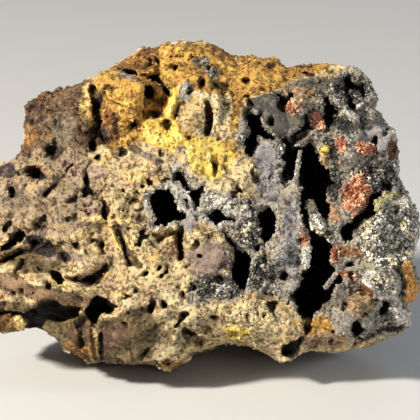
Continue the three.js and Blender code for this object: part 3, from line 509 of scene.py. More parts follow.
# Drifts of another tint through the base: size in millimetres, range of the noise, darker and lighter tint
DRIFTS = [
    (2.6, 0.5, 0.6, [(96, 70, 54), (206, 172, 142)]),
    (2.1, 0.5, 0.6, [(100, 88, 62), (204, 192, 152)]),
    (1.5, 0.54, 0.62, [(140, 92, 36), (244, 202, 112)]),
]

# Tints of painted shade: druse gaps and hollows in the rock and in the crystals, pits and cracks, sunken
# places
PAINTED_SHADE_TINT = (8, 7, 6)
CRYSTAL_PAINTED_SHADE_TINT = (4, 4, 3)
PIT_SHADE_TINT = (44, 26, 12)
SUNKEN_SHADE_TINT = (34, 20, 10)

# Tints of the crystals: the darkest and lightest, the lightest partly painted glints, and the pale patches of
# the carminite
BEUDANTITE_TINTS = [(20, 18, 15), (170, 164, 150)]
CARMINITE_TINTS = [(118, 42, 24), (250, 176, 136)]
CARMINITE_PALE = (250, 214, 168)

# Hairline cracks of the rock: size of the pieces between them in millimetres, and width as a share of that
HAIRLINES = [(2.9, 0.035), (1.3, 0.05)]

# Clusters of carminite: middle, half size and turn in the view, how many blades, their length, range of tone
CARMINITE = {
    "carminite_main": ((356, 193), (11, 19), 18, 2400, 0.5, (0.0, 0.88)),
    "carminite_upper_left": ((293, 107), (7, 6), 0, 420, 0.34, (0.0, 0.2)),
    "carminite_upper": ((316, 121), (4.5, 11), -32, 520, 0.4, (0.45, 1.0)),
    "carminite_middle_left": ((341, 146), (4, 8), 0, 420, 0.4, (0.0, 0.6)),
    "carminite_middle_right": ((365, 149), (10, 5.5), 8, 560, 0.36, (0.1, 0.9)),
    "carminite_wall": ((305, 239), (4, 7.5), 0, 300, 0.36, (0.0, 0.8)),
    "carminite_lower": ((337, 254), (5, 10), 0, 420, 0.4, (0.0, 0.25)),
    "carminite_foot": ((350, 276), (7, 4.5), 0, 260, 0.36, (0.0, 0.7)),
}

# The blades of a cluster stand in tufts: how many in a tuft, the fewest tufts, and how far their blades lean
TUFT_BLADES = 8
LEAST_TUFTS = 8
TUFT_LEAN = 0.75
TUFT_SCATTER = 0.16
TUFT_TONE = 0.6
CLUSTER_EDGE = (1.2, 0.5)
BLADE_LENGTHS = (0.3, 0.9)
BLADE_WIDTHS = (0.07, 0.16)
BLADE_SECTION = (1.6, 0.7)

# Crystals of the open druse: how many, their sizes in millimetres, and how thickly they cover each zone
OPEN_CRYSTALS = {"open_druse": (8000, (0.16, 0.36)), "fine_druse": (15000, (0.09, 0.22))}
OPEN_GROUND = {
    "druse": 1.0, "boss": 1.0, "grey": 0.2, "frost": 0.3, "pale": 0.2, "slate": -1.0, "lilac": -1.0,
    "tan": -0.1, "coal": 0.6, "bead": -4,
}
RHOMB_STRETCH = (0.8, 1.2)
RHOMB_RISE = 0.1
RHOMB_SCATTER = 0.05

# Rods of crystals: the pixel and the drop below the face, in millimetres, of both ends
RODS = {
    "cleft_rod": [((338, 271), 0.0), ((325, 288), 1.2)],
    "cleft_bridge": [((300, 151), 0.2), ((296, 180), 0.2)],
}
ROD_CRYSTALS = 110
ROD_SIZES = (0.14, 0.32)
ROD_SCATTER = 0.06

# The bead: its pixel and radius in millimetres, and how many radii it stands above the face
BEAD = ((325, 150), 0.52)
BEAD_RISE = 0.8

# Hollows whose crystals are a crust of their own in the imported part, and what those crusts are like
CRUSTS = [
    "cleft_upper", "cleft_lower", "window", "upper_pair", "behind_facet", "centre_right", "centre_bottom",
]
CRUST_DENSITY = 6
CRUST_REACH = -1.0
CRUST_SIZES = (0.12, 0.3)
CRUST_EDGE_PX = (7, 1)

# Crumbs: how many, their sizes in millimetres, and how thickly they lie in the druse and the porous places.
# Their patches: lattice cell, seed, range of that noise, and the cover between the patches
CRUMBS = 24000
CRUMB_SIZES = (0.12, 0.42)
CRUMB_STRETCH = (0.5, 1.5)
CRUMB_RISE = 0.08
CRUMB_ROUGHNESS = 0.1
CRUMB_DRUSE_LOSS = 0.7
CRUMB_LEAST_COVER = 0.25
CRUMB_POROUS_SOFT_PX = 8
CRUMB_PATCHES = (1.3, 83, (-0.2, 0.4), 0.1)

# Seeds of what is drawn at random
CRUST_SEED = 500
DRUSE_SEED = 520
ROD_SEED = 540
CARMINITE_SEED = 600
CRUMB_SEED = 700

# Lights: power in watts, colour, size and place in millimetres; all of them look at the stone's middle.
LIGHTS = {
    "key": (3.4, (1.0, 0.93, 0.82), 40, (-290, -160, 255)),
    "fill": (0.12, (0.82, 0.9, 1.0), 120, (200, -270, 120)),
    "edge": (0.36, (0.86, 0.93, 1.0), 60, (320, -60, 130)),
    "back": (0.15, (0.9, 0.95, 1.0), 160, (150, 260, 190)),
}
STONE_MIDDLE = (0, 0, 18)
WORLD_COLOUR = (0.8, 0.85, 0.9, 1)
WORLD_STRENGTH = 0.14
FLOOR_COLOUR = (0.6, 0.6, 0.6, 1)
FLOOR_SIZE = 2
CLIP_START = 0.01

# Templates of the crystals, each about 1 across: corners, and faces as indexes of corners.
# A rhombohedron is a cube stretched along its long diagonal.
CUBE = np.array([(x, y, z) for x in (-0.5, 0.5) for y in (-0.5, 0.5) for z in (-0.5, 0.5)])
RHOMB = CUBE + 0.09 * CUBE.sum(axis=1, keepdims=True)
RHOMB_FACES = np.array([(0, 1, 3, 2), (4, 6, 7, 5), (0, 4, 5, 1), (2, 3, 7, 6), (0, 2, 6, 4), (1, 5, 7, 3)])

# A shard: two three-sided pyramids base to base
SHARD = np.array([(0.6, 0, 0), (-0.3, 0.52, 0), (-0.3, -0.52, 0), (0, 0, 0.6), (0, 0, -0.6)])
SHARD_FACES = np.array([(0, 1, 3), (1, 2, 3), (2, 0, 3), (1, 0, 4), (2, 1, 4), (0, 2, 4)])

# A blade: a flat prism that runs to an edge at its tip
BLADE = np.array([
    (-0.5, -0.5, -0.3), (0.5, -0.5, -0.3), (0.5, 0.5, -0.3), (-0.5, 0.5, -0.3),
    (-0.5, -0.5, 0.7), (0.5, -0.5, 0.7), (0.5, 0.5, 0.7), (-0.5, 0.5, 0.7), (0, 0, 1),
])
BLADE_FACES = np.array([
    (0, 1, 5), (0, 5, 4), (1, 2, 6), (1, 6, 5), (2, 3, 7), (2, 7, 6), (3, 0, 4), (3, 4, 7),
    (0, 3, 2), (0, 2, 1), (4, 5, 8), (5, 6, 8), (6, 7, 8), (7, 4, 8),
])


def to_face(points):
    return (points - FACE_ORIGIN) @ FACE_AXES.T


def to_stone(points):
    return points @ FACE_AXES + FACE_ORIGIN


def pixel_size(w):
    """Millimetres that a pixel of the view spans at a height of the face frame."""
    return (1 - w / VIEW_DISTANCE) * MM_PER_PX


def seen_at(u, v, w):
    """The pixel of the view at which a place of the face frame is seen."""
    size = pixel_size(w)
    return VIEW_PX / 2 + u / size, VIEW_PX / 2 - v / size


def view_place(at, w):
    """The place of the face frame that is seen at a pixel, at a given height."""
    size = pixel_size(w)
    return np.array([(at[0] - VIEW_PX / 2) * size, (VIEW_PX / 2 - at[1]) * size, w])


def smoothstep(low, high, value):
    share = np.clip((value - low) / (high - low), 0, 1)
    return share * share * (3 - 2 * share)


def between(limits, share):
    """The value a share of the way from the first limit to the second."""
    return limits[0] + (limits[1] - limits[0]) * share


def drawn(rng, share, count, replace=True):
    """Indexes drawn at random in proportion to their share."""
    return rng.choice(len(share), size=count, replace=replace, p=share / share.sum())


def spot_share(x, y, at, half, turn):
    """How far out a pixel lies in a turned ellipse: 0 in its middle and 1 on its rim."""
    angle = math.radians(turn)
    dx, dy = x - at[0], y - at[1]
    along = (dx * math.cos(angle) + dy * math.sin(angle)) / half[0]
    across = (dy * math.cos(angle) - dx * math.sin(angle)) / half[1]
    return np.sqrt(along ** 2 + across ** 2)


def spot_distance(x, y, at, half, turn):
    """Pixels from the rim of a turned ellipse, roughly, and negative inside it."""
    return (spot_share(x, y, at, half, turn) - 1) * min(half)


def segment_distance(x, y, start, end):
    run, rise = end[0] - start[0], end[1] - start[1]
    along = ((x - start[0]) * run + (y - start[1]) * rise) / (run ** 2 + rise ** 2)
    along = np.clip(along, 0, 1)
    return np.hypot(x - start[0] - along * run, y - start[1] - along * rise)


def outline_distance(x, y, outline):
    """Pixels from an outline, negative inside it."""
    nearest = np.full(x.shape, np.inf)
    inside = np.zeros(x.shape, bool)
    for start, end in zip(outline, outline[1:] + outline[:1]):
        nearest = np.minimum(nearest, segment_distance(x, y, start, end))
        crosses = (start[1] > y) != (end[1] > y)
        slope = (end[0] - start[0]) / ((end[1] - start[1]) or 1e-9)
        inside ^= crosses & (x < start[0] + (y - start[1]) * slope)
    return np.where(inside, -nearest, nearest)


def path_distance(x, y, path):
    parts = [segment_distance(x, y, start, end) for start, end in zip(path, path[1:])]
    return np.minimum.reduce(parts)


def hollow_distance(x, y):
    """Millimetres from the nearest hollow's outline, negative inside it."""
    parts = [outline_distance(x, y, outline) for _, _, outline in HOLLOWS.values()]
    return np.minimum.reduce(parts) * MM_PER_PX


def zone_share(x, y, shapes, soft):
    """How much a pixel belongs to a zone: outlines and turned ellipses with an edge `soft` pixels wide."""
    total = np.zeros(np.broadcast(x, y).shape)
    for shape in shapes:
        distance = outline_distance(x, y, shape) if isinstance(shape, list) else spot_distance(x, y, *shape)
        total = np.maximum(total, 1 - smoothstep(-soft, soft, distance))
    return total


def calm_share(x, y):
    """How smooth the rock is at a pixel: 1 where it broke smooth, 0 where it is crumbly."""
    return zone_share(x, y, SMOOTH_PLACES, SOFT_PX)


def spline_weights(count, knots, cell):
    """Rows of cubic spline weights that spread `knots` lattice values, `cell` apart, over `count` voxels."""
    at = np.arange(count) * VOXEL / cell + 1
    base = np.floor(at).astype(int)
    t = at - base
    parts = [(1 - t) ** 3, 3 * t ** 3 - 6 * t ** 2 + 4, -3 * t ** 3 + 3 * t ** 2 + 3 * t + 1, t ** 3]
    weights = np.zeros((count, knots), np.float32)
    for step, part in enumerate(parts):
        weights[np.arange(count), base + step - 1] = part / 6
    return weights


def lattice_noise(shape, cell, seed):
    """Smooth noise over the grid, about -1 to 1, with lumps about `cell` millimetres apart."""
    knots = [int(count * VOXEL / cell) + 5 for count in shape]
    values = np.random.default_rng(seed).uniform(-1, 1, knots).astype(np.float32)
    for axis, count in enumerate(shape):
        weights = spline_weights(count, knots[axis], cell)
        values = np.moveaxis(np.tensordot(weights, values, axes=(1, axis)), 0, axis)
    return values * 2.6


def blurred(field, sigma):
    """A field smoothed by a bell `sigma` voxels wide."""
    reach = max(1, math.ceil(2.5 * sigma))
    weights = np.exp(-0.5 * (np.arange(-reach, reach + 1) / sigma) ** 2)
    weights = (weights / weights.sum()).astype(np.float32)
    for axis, size in enumerate(field.shape):
        padded = np.pad(field, [(reach, reach) if a == axis else (0, 0) for a in range(field.ndim)], "edge")
        before = (slice(None),) * axis
        field = sum(weight * padded[before + (slice(k, k + size),)] for k, weight in enumerate(weights))
    return field


class Grid:
    """The block of voxels that holds the stone, in the face frame."""

    def __init__(self, points):
        self.start = np.floor((points.min(axis=0) - MARGIN) / VOXEL).astype(int)
        end = np.ceil((points.max(axis=0) + MARGIN) / VOXEL).astype(int)
        self.shape = tuple((end - self.start).tolist())
        self.corner = tuple(self.start.tolist())

    def line(self, axis):
        return ((self.start[axis] + np.arange(self.shape[axis])) * VOXEL).astype(np.float32)

    def sample(self, field, points):
        """A field at places of the face frame, between its voxels."""
        at = points / VOXEL - self.start[:points.shape[1]]
        base = np.clip(np.floor(at).astype(int), 0, np.array(field.shape) - 2)
        part = np.clip(at - base, 0, 1)
        total = np.zeros(len(points))
        for corner in range(2 ** points.shape[1]):
            step = np.array([(corner >> axis) & 1 for axis in range(points.shape[1])])
            weight = np.prod(np.where(step, part, 1 - part), axis=1)
            total += weight * field[tuple((base + step).T)]
        return total


def read_all(items, key, size, kind=np.float32):
    """One property of all points or polygons of a mesh, each `size` numbers long, as an array."""
    values = np.empty(len(items) * size, kind)
    items.foreach_get(key, values)
    return values.reshape(-1, size)


def mesh_points(mesh):
    return to_face(read_all(mesh.vertices, "co", 3) / METRE)


def node_arrays(name):
    """Vertices, in the face frame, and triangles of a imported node."""
    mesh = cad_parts[name].data
    mesh.calc_loop_triangles()
    return mesh_points(mesh), read_all(mesh.loop_triangles, "vertices", 3, np.int32)


def triangle_arrays(mesh):
    """Centre and normal in the face frame, and area in square millimetres, of each triangle."""
    centres = to_face(read_all(mesh.polygons, "center", 3) / METRE)
    normals = read_all(mesh.polygons, "normal", 3) @ FACE_AXES.T
    return centres, normals, read_all(mesh.polygons, "area", 1)[:, 0] / METRE ** 2


def packed_field(points, triangles, grid):
    """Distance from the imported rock's surface, negative inside."""
    width = BAND / VOXEL
    volume = openvdb.FloatGrid.createLevelSetFromPolygons(
        points.astype(np.float32), triangles=triangles.astype(np.uint32),
        transform=openvdb.createLinearTransform(voxelSize=VOXEL), exBandWidth=width, inBandWidth=width)
    field = np.empty(grid.shape, np.float32)
    volume.copyToArray(field, ijk=grid.corner)
    return field


class Face:
    """What the view says of each column of the grid: its pixel and its surface, bridged over the hollows."""

    def __init__(self, field, grid):
        self.u = grid.line(0)[:, None]
        self.v = grid.line(1)[None, :]
        solid = field < 0
        top = solid.shape[2] - 1 - np.argmax(solid[:, :, ::-1], axis=2)
        height = np.where(solid.any(axis=2), grid.line(2)[top], 0).astype(np.float32)
        self.look(height)
        outside = solid.any(axis=2).astype(np.float32) * (hollow_distance(self.x, self.y) > HOLLOW_RIM)
        wide = SURFACE_SPREAD / VOXEL
        spread = blurred(height * outside, wide) / np.maximum(blurred(outside, wide), 1e-4)
        self.surface = np.where(outside > 0, height, spread)
        self.look(self.surface)

    def look(self, height):
        self.x, self.y = seen_at(self.u, self.v, height)


def block_of(grid, low, high):
    """The slices of the grid between two places of the face frame."""
    first = np.floor(np.array(low) / VOXEL).astype(int) - grid.start
    last = np.ceil(np.array(high) / VOXEL).astype(int) - grid.start + 1
    first = np.clip(first, 0, np.array(grid.shape) - 1)
    last = np.clip(last, first + 1, grid.shape)
    return tuple(slice(int(a), int(b)) for a, b in zip(first, last))


def fill_hollows(field, grid, face):
    """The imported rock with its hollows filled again, so that they can be cut with their real edges."""
    solid = field < 0
    bottom = grid.line(2)[np.argmax(solid, axis=2)]
    reach = hollow_distance(face.x, face.y) - FILL_REACH
    w = grid.line(2)[None, None, :]
    sides = np.maximum(reach, bottom - face.surface)[:, :, None]
    filling = np.maximum(np.maximum(w - face.surface[:, :, None], bottom[:, :, None] - w), sides)
    return np.where(solid.any(axis=2)[:, :, None], np.minimum(field, filling), field).astype(np.float32)


def trim_to_edge(field, grid, spare):
    """Cut what would show more than `spare` millimetres outside the stone's edge in the view."""
    size = VIEW_PX + 2 * EDGE_MARGIN_PX
    at = np.arange(size * CELLS_PER_PX) / CELLS_PER_PX - EDGE_MARGIN_PX
    x, y = np.meshgrid(at, at, indexing="ij")
    distance = (outline_distance(x, y, EDGE) * MM_PER_PX - spare).astype(np.float32)
    u = grid.line(0)[:, None]
    v = grid.line(1)[None, :]
    for level, w in enumerate(grid.line(2)):
        cells = [((seen + EDGE_MARGIN_PX) * CELLS_PER_PX).astype(int) for seen in seen_at(u, v, w)]
        column, row = [np.clip(cell, 0, len(at) - 1) for cell in cells]
        field[:, :, level] = np.maximum(field[:, :, level], distance[column, row])


def shape_face(field, grid, face):
    """Raise the ridges and sink the grooves of the face."""
    rise = np.zeros(face.surface.shape, np.float32)
    for path, half_width, height in FORMS:
        share = path_distance(face.x, face.y, path) / half_width
        rise += height * (1 - smoothstep(*FORM_EDGE, share))
    below = grid.line(2)[None, None, :] - face.surface[:, :, None]
    field -= rise[:, :, None] * smoothstep(*FORM_DEPTHS, below).astype(np.float32)


def carve(field, grid, face, ragged, reach, distance, depth, flare, lip):
    """Cut a hollow along the lines of sight: `distance` gives pixels from its rim, `lip` rounds that rim."""
    (low_x, low_y), (high_x, high_y) = reach
    near = (face.x > low_x - EDGE_PX) & (face.x < high_x + EDGE_PX)
    near &= (face.y > low_y - EDGE_PX) & (face.y < high_y + EDGE_PX)
    across = np.flatnonzero(near.any(axis=1))
    up = np.flatnonzero(near.any(axis=0))
    columns = (slice(across[0], across[-1] + 1), slice(up[0], up[-1] + 1))
    surface = face.surface[columns]
    w_line = grid.line(2)
    is_near = (w_line > surface.min() - depth - CARVE_MARGIN) & (w_line < surface.max() + CARVE_MARGIN)
    levels = np.flatnonzero(is_near)
    block = columns + (slice(levels[0], levels[-1] + 1),)
    w = w_line[block[2]][None, None, :]
    seen = seen_at(face.u[columns[0]][:, :, None], face.v[:, columns[1]][:, :, None], w)
    x, y = np.broadcast_arrays(*seen)
    below = surface[:, :, None] - w
    rough = ragged[block]
    lateral = distance(x, y) * MM_PER_PX + EDGE_ROUGHNESS * rough
    lateral -= flare * np.clip(below, 0, depth) + lip * (1 - smoothstep(*LIP_DEPTHS, below))
    hollow = np.maximum(lateral, below - depth + FLOOR_ROUGHNESS * rough)
    field[block] = np.maximum(field[block], -hollow)


def carve_all(field, grid, face, ragged):
    """Cut the hollows, the small holes and the cracks."""
    def cut(points, spare, distance, depth, flare, lip):
        reach = (np.min(points, axis=0) - spare, np.max(points, axis=0) + spare)
        carve(field, grid, face, ragged, reach, distance, depth, flare, lip)

    for depth, flare, outline in HOLLOWS.values():
        cut(outline, 0, lambda x, y: outline_distance(x, y, outline), depth, flare, HOLLOW_LIP)
    for at, half, turn, depth in SPOTS:
        cut([at], max(half), lambda x, y: spot_distance(x, y, at, half, turn), depth, 0, SPOT_LIP)
    for path, half_width, depth in CRACKS:
        cut(path, 0, lambda x, y: path_distance(x, y, path) - half_width, depth, 0, CRACK_LIP)


def random_turn(rng):
    turn, _ = np.linalg.qr(rng.normal(size=(3, 3)))
    return turn * np.sign(np.linalg.det(turn))


def stamp(field, grid, ragged, centre, radii, turn, is_grain, power=STAMP_POWER):
    """Add a rough rounded box as a grain, or cut it as a pore. A higher power has sharper edges."""
    reach = max(radii) * STAMP_REACH
    block = block_of(grid, centre - reach, centre + reach)
    lines = [grid.line(axis)[block[axis]] - centre[axis] for axis in range(3)]
    offsets = np.meshgrid(*lines, indexing="ij")
    total = 0
    for axis, radius in enumerate(radii):
        along = sum(offset * turn[axis, i] for i, offset in enumerate(offsets))
        total = total + (along / radius) ** power
    distance = (total ** (1 / power) - 1) * min(radii) + STAMP_ROUGHNESS * ragged[block]
    if is_grain:
        field[block] = np.minimum(field[block], distance)
    else:
        field[block] = np.maximum(field[block], -distance)


def chipped(field, grid, cell, tilt, gap, seed, weight):
    """Break the surface into chips about `cell` across, each a tilted plane with gaps around it."""
    near = np.flatnonzero(np.abs(field) < CHIP_REACH)
    i, j, k = np.unravel_index(near, field.shape)
    chosen = np.flatnonzero(weight[i, j] > LEAST_COVER)
    near, i, j, k = near[chosen], i[chosen], j[chosen], k[chosen]
    rng = np.random.default_rng(seed)
    place = np.stack([i, j, k], axis=1).astype(np.float32) @ random_turn(rng).astype(np.float32)
    place *= VOXEL / cell
    base = np.floor(place - 0.5).astype(np.int32)
    seeds = rng.uniform(*CHIP_SEED_RANGE, (CHIP_TABLE ** 3, 3)).astype(np.float32)
    tilts = rng.normal(size=(CHIP_TABLE ** 3, 3)).astype(np.float32)
    lowest = np.full(len(near), 9, np.float32)
    second = lowest.copy()
    lean = np.zeros(len(near), np.float32)
    for corner in range(8):
        cells = base + np.array([corner & 1, (corner >> 1) & 1, corner >> 2], np.int32)
        wrapped = cells % CHIP_TABLE
        flat = (wrapped[:, 0] * CHIP_TABLE + wrapped[:, 1]) * CHIP_TABLE + wrapped[:, 2]
        offset = place - cells - seeds[flat]
        distance = np.sqrt(np.einsum("ij,ij->i", offset, offset))
        closer = distance < lowest
        second = np.where(closer, lowest, np.minimum(second, distance))
        lowest = np.where(closer, distance, lowest)
        lean = np.where(closer, np.einsum("ij,ij->i", offset, tilts[flat]), lean)
    relief = tilt * cell * lean + gap * (1 - smoothstep(*CHIP_GAP_RANGE, second - lowest))
    field.reshape(-1)[near] += (relief * weight[i, j]).astype(np.float32)


def surface_places(field, grid, count, weight, rng):
    """Places on the surface, drawn with the given weight for each column."""
    near = np.flatnonzero(np.abs(field).ravel() < VOXEL / 2)
    i, j, k = np.unravel_index(near, field.shape)
    chosen = drawn(rng, weight[i, j], count, replace=False)
    index = np.stack([i[chosen], j[chosen], k[chosen]], axis=1)
    return (index + grid.start + rng.uniform(-0.5, 0.5, index.shape)) * VOXEL


def stamp_many(field, grid, ragged, seed, count, sizes, sink, weight, is_grain):
    """Scatter grains or pores over the surface, sunk a given number of radii."""
    rng = np.random.default_rng(seed)
    for place in surface_places(field, grid, count, weight, rng):
        radius = between(sizes, rng.random() ** 2)
        radii = radius * rng.uniform(*STAMP_STRETCH, 3)
        inward = -sink * radius * (1 if place[2] > SILHOUETTE_LEVEL else -1)
        centre = place + np.array([0, 0, inward])
        stamp(field, grid, ragged, centre, radii, random_turn(rng), is_grain)


def on_face(model, at, drop):
    """The place seen at a pixel, a given drop in millimetres below the face."""
    grid, _, face = model
    rough_place = view_place(at, GUESSED_HEIGHT)
    w = float(grid.sample(face.surface, rough_place[None, :2])[0]) - drop
    return view_place(at, w)


def set_blocks(field, grid, ragged, face):
    """Stand the angular blocks on the face, each leaning a little."""
    lean_x, lean_y = BLOCK_LEAN
    for at, half_sizes, turn, above in BLOCKS:
        angle = math.radians(-turn)
        axes = np.array([
            [math.cos(angle), math.sin(angle), lean_x],
            [-math.sin(angle), math.cos(angle), lean_y],
            [-lean_x, -lean_y, 1],
        ])
        axes /= np.linalg.norm(axes, axis=1, keepdims=True)
        middle = on_face((grid, field, face), at, -above)
        stamp(field, grid, BLOCK_ROUGHNESS * ragged, middle, half_sizes, axes, True, BLOCK_POWER)


def rock_field(grid):
    """The rock's field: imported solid, lumps, pores and grains, then the hollows with their real edges."""
    points, triangles = node_arrays("matrix")
    field = packed_field(points, triangles, grid)
    face = Face(field, grid)
    field = blurred(fill_hollows(field, grid, face), FIRST_BLUR / VOXEL)
    trim_to_edge(field, grid, FIRST_SPARE)
    shape_face(field, grid, face)
    calm = calm_share(face.x, face.y)
    rough = (1 - CALMING * calm)[:, :, None].astype(np.float32)
    for cell, height, seed in LUMPS:
        field += height * lattice_noise(grid.shape, cell, seed) * (rough if cell < FINE_LUMP_CELL else 1)
    ragged = sum(reach * lattice_noise(grid.shape, cell, seed) for cell, reach, seed in RAGGED)
    set_blocks(field, grid, ragged, face)
    lively = 1.02 - calm
    places = zone_share(face.x, face.y, POROUS_PLACES, POROUS_SOFT_PX)
    pore_cover = lively * between(PORE_COVER, places)
    chip_cover = lively * between(CHIP_COVER, places)
    for stamps, is_grain in ((PORES, False), (GRAINS, True)):
        for seed, count, sizes, sink in stamps:
            stamp_many(field, grid, ragged, seed, count, sizes, sink, pore_cover, is_grain)
    carve_all(field, grid, face, ragged)
    for cell, tilt, gap, seed in CHIPS:
        chipped(field, grid, cell, tilt, gap, seed, chip_cover)
    for cell, height, seed in FINE_LUMPS:
        field += height * lattice_noise(grid.shape, cell, seed) * rough
    trim_to_edge(field, grid, LAST_SPARE)
    field = blurred(field, LAST_BLUR_VOXELS)
    height = grid.line(1)[:, None] * FACE_AXES[1, 2] + grid.line(2) * FACE_AXES[2, 2] + FACE_ORIGIN[2]
    return np.maximum(field, BASE_LEVEL - height), face


def largest_piece(points, faces):
    """The largest connected piece of a mesh, without the closed voids and crumbs."""
    label = np.arange(len(points))
    pairs = np.concatenate([faces[:, [0, 1]], faces[:, [1, 2]], faces[:, [2, 3]], faces[:, [3, 0]]])
    while True:
        lower = label.copy()
        shared = np.minimum(label[pairs[:, 0]], label[pairs[:, 1]])
        np.minimum.at(lower, pairs[:, 0], shared)
        np.minimum.at(lower, pairs[:, 1], shared)
        lower = lower[lower]
        if np.array_equal(lower, label):
            break
        label = lower
    kept = label == np.bincount(label).argmax()
    renumbered = np.cumsum(kept) - 1
    return points[kept], renumbered[faces[kept[faces[:, 0]]]]


def surface_mesh(field, grid):
    """Points in the face frame and four-cornered faces of the field's surface."""
    volume = openvdb.FloatGrid(2 * VOXEL)
    volume.transform = openvdb.createLinearTransform(voxelSize=VOXEL)
    volume.copyFromArray(np.ascontiguousarray(field, np.float32), ijk=grid.corner)
    points, quads = volume.convertToQuads(0)
    return largest_piece(points, quads.astype(int))


def new_object(name, points, faces, material):
    """A mesh object from points of the face frame."""
    mesh = bpy.data.meshes.new(name)
    mesh.from_pydata((to_stone(points) * METRE).tolist(), [], faces.tolist())
    mesh.materials.append(material)
    mesh.shade_smooth()
    piece = bpy.data.objects.new(name, mesh)
    bpy.context.scene.collection.objects.link(piece)
    return piece


def slim_down(piece, limit, spared):
    """Reduce a piece to `limit` triangles at most, with less taken where more of its detail is spared."""
    group = piece.vertex_groups.new(name="slimmed")
    levels = np.round((1 - spared) * WEIGHT_LEVELS).astype(int)
    for level in range(WEIGHT_LEVELS + 1):
        group.add(np.flatnonzero(levels == level).tolist(), level / WEIGHT_LEVELS, "REPLACE")
    modifier = piece.modifiers.new("slim", "DECIMATE")
    modifier.ratio = min(1, limit / (2 * len(piece.data.polygons)))
    modifier.use_collapse_triangulate = True
    modifier.vertex_group = group.name
    modifier.vertex_group_factor = DETAIL_WEIGHT
    slim = bpy.data.meshes.new_from_object(piece.evaluated_get(bpy.context.evaluated_depsgraph_get()))
    piece.modifiers.clear()
    piece.vertex_groups.clear()
    piece.data = slim
    slim.name = piece.name
    slim.shade_flat()


def set_attribute(mesh, name, values):
    attribute = mesh.attributes.new(name, "FLOAT", "POINT")
    attribute.data.foreach_set("value", np.ascontiguousarray(values, np.float32))


def frontness(points):
    """1 on the side that the view shows, 0 behind."""
    return smoothstep(*FRONT_HEIGHTS, points[:, 2])


def paint_zones(piece, model, points, copy_size=1):
    """Write as attributes each zone's share, the depth in hollows for painted shade, and the height above the
    rock's mean for painted relief light.
    """
    grid, field, face = model
    x, y = seen_at(*points.T)
    front = frontness(points)
    in_hollow = smoothstep(*DARK_RIM, hollow_distance(x, y))
    depth = grid.sample(face.surface, points[:, :2]) - points[:, 2]
    stray = 1 + SIDE_STRAY * smoothstep(*SIDE_DEPTHS, depth)
    for cell, reach, seed in SWAY:
        sway = lattice_noise(grid.shape, cell, seed)
        x = x + stray * reach * grid.sample(sway, points)
        y = y + stray * reach * grid.sample(sway[::-1], points)
    values = {name: zone_share(x, y, shapes, soft) * front for name, (soft, _, shapes) in ZONES.items()}
    values["calm"] = calm_share(x, y) * front
    # Weight of the painted shade deep in the hollows
    values["deep"] = in_hollow * smoothstep(*DARK_DEPTHS, depth) * front
    # How raised the surface is: raised places get painted highlight, sunken ones painted shade
    values["raised"] = grid.sample(blurred(np.clip(field, -1, 1), RAISED_REACH / VOXEL), points)
    values["front"] = front
    for name, value in values.items():
        set_attribute(piece.data, name, np.repeat(value, copy_size))


def build_rock():
    """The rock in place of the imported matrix, and its model: the grid, the field and the face."""
    points, _ = node_arrays("matrix")
    grid = Grid(points)
    field, face = rock_field(grid)
    points, quads = surface_mesh(field, grid)
    rock = new_object("gossan_rock", points, quads, gossan_material())
    slim_down(rock, ROCK_TRIANGLES, np.clip(smoothstep(*DETAIL_HEIGHTS, points[:, 2]), *DETAIL_RANGE))
    model = (grid, field, face)
    paint_zones(rock, model, mesh_points(rock.data))
    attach(rock, "root")
    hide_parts("matrix")
    return rock, model


def many_turns(rng, count):
    """Random rotation matrices, one for each crystal."""
    q = rng.normal(size=(count, 4))
    q /= np.linalg.norm(q, axis=1, keepdims=True)
    w, x, y, z = q.T
    rows = [1 - 2 * (y * y + z * z), 2 * (x * y - z * w), 2 * (x * z + y * w),
            2 * (x * y + z * w), 1 - 2 * (x * x + z * z), 2 * (y * z - x * w),
            2 * (x * z - y * w), 2 * (y * z + x * w), 1 - 2 * (x * x + y * y)]
    return np.stack(rows, axis=1).reshape(-1, 3, 3)


def turns_along(rng, directions):
    """Rotation matrices whose third row runs along each direction, turned at random about it."""
    third = directions / np.linalg.norm(directions, axis=1, keepdims=True)
    first = np.cross(third, rng.normal(size=third.shape))
    first /= np.linalg.norm(first, axis=1, keepdims=True)
    return np.stack([first, np.cross(third, first), third], axis=1)


def copies(template, faces, places, turns, scales):
    """Points and faces of many scaled and turned copies of a small mesh."""
    points = (template[None] * scales[:, None, :]) @ turns + places[:, None, :]
    offsets = np.arange(len(places))[:, None, None] * len(template)
    return points.reshape(-1, 3), (faces[None] + offsets).reshape(-1, faces.shape[1])


def crystal_piece(name, material, points, faces, tone, copy_size):
    """A joined mesh of crystals that rides on the stone, with a tone of its own for each crystal."""
    piece = new_object(name, points, faces, material)
    piece.data.shade_flat()
    set_attribute(piece.data, "tone", np.repeat(tone, copy_size))
    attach(piece, "root")
    return piece


def set_rhombs(name, places, size, rng, material, model):
    """Rhombohedra at places, turned at random, that take the zones' colours."""
    count = len(places)
    scales = size[:, None] * rng.uniform(*RHOMB_STRETCH, (count, 3))
    points, faces = copies(RHOMB, RHOMB_FACES, places, many_turns(rng, count), scales)
    piece = crystal_piece(name, material, points, faces, rng.random(count), len(RHOMB))
    paint_zones(piece, model, places, len(RHOMB))
    return piece


def grow_druse(name, ground, weight, count, sizes, seed, material, model):
    """Rhombohedra on the rock's triangles, drawn with the given weight, with more small ones than large."""
    centres, normals, areas = ground
    rng = np.random.default_rng(seed)
    chosen = drawn(rng, weight * areas, count)
    size = between(sizes, rng.random(count) ** 3)
    places = centres[chosen] + normals[chosen] * size[:, None] * RHOMB_RISE
    places += rng.normal(0, RHOMB_SCATTER, (count, 3))
    return set_rhombs(name, places, size, rng, material, model)


def grow_open_druse(ground, material, model):
    """The druse of the open face, of large and small crystals."""
    x, y = seen_at(*ground[0].T)
    weight = sum(share * zone_share(x, y, ZONES[name][2], SOFT_PX) for name, share in OPEN_GROUND.items())
    weight = np.maximum(weight, 0) * (ground[0][:, 2] > 0)
    for order, (name, (count, sizes)) in enumerate(OPEN_CRYSTALS.items()):
        grow_druse(name, ground, weight, count, sizes, DRUSE_SEED + order, material, model)


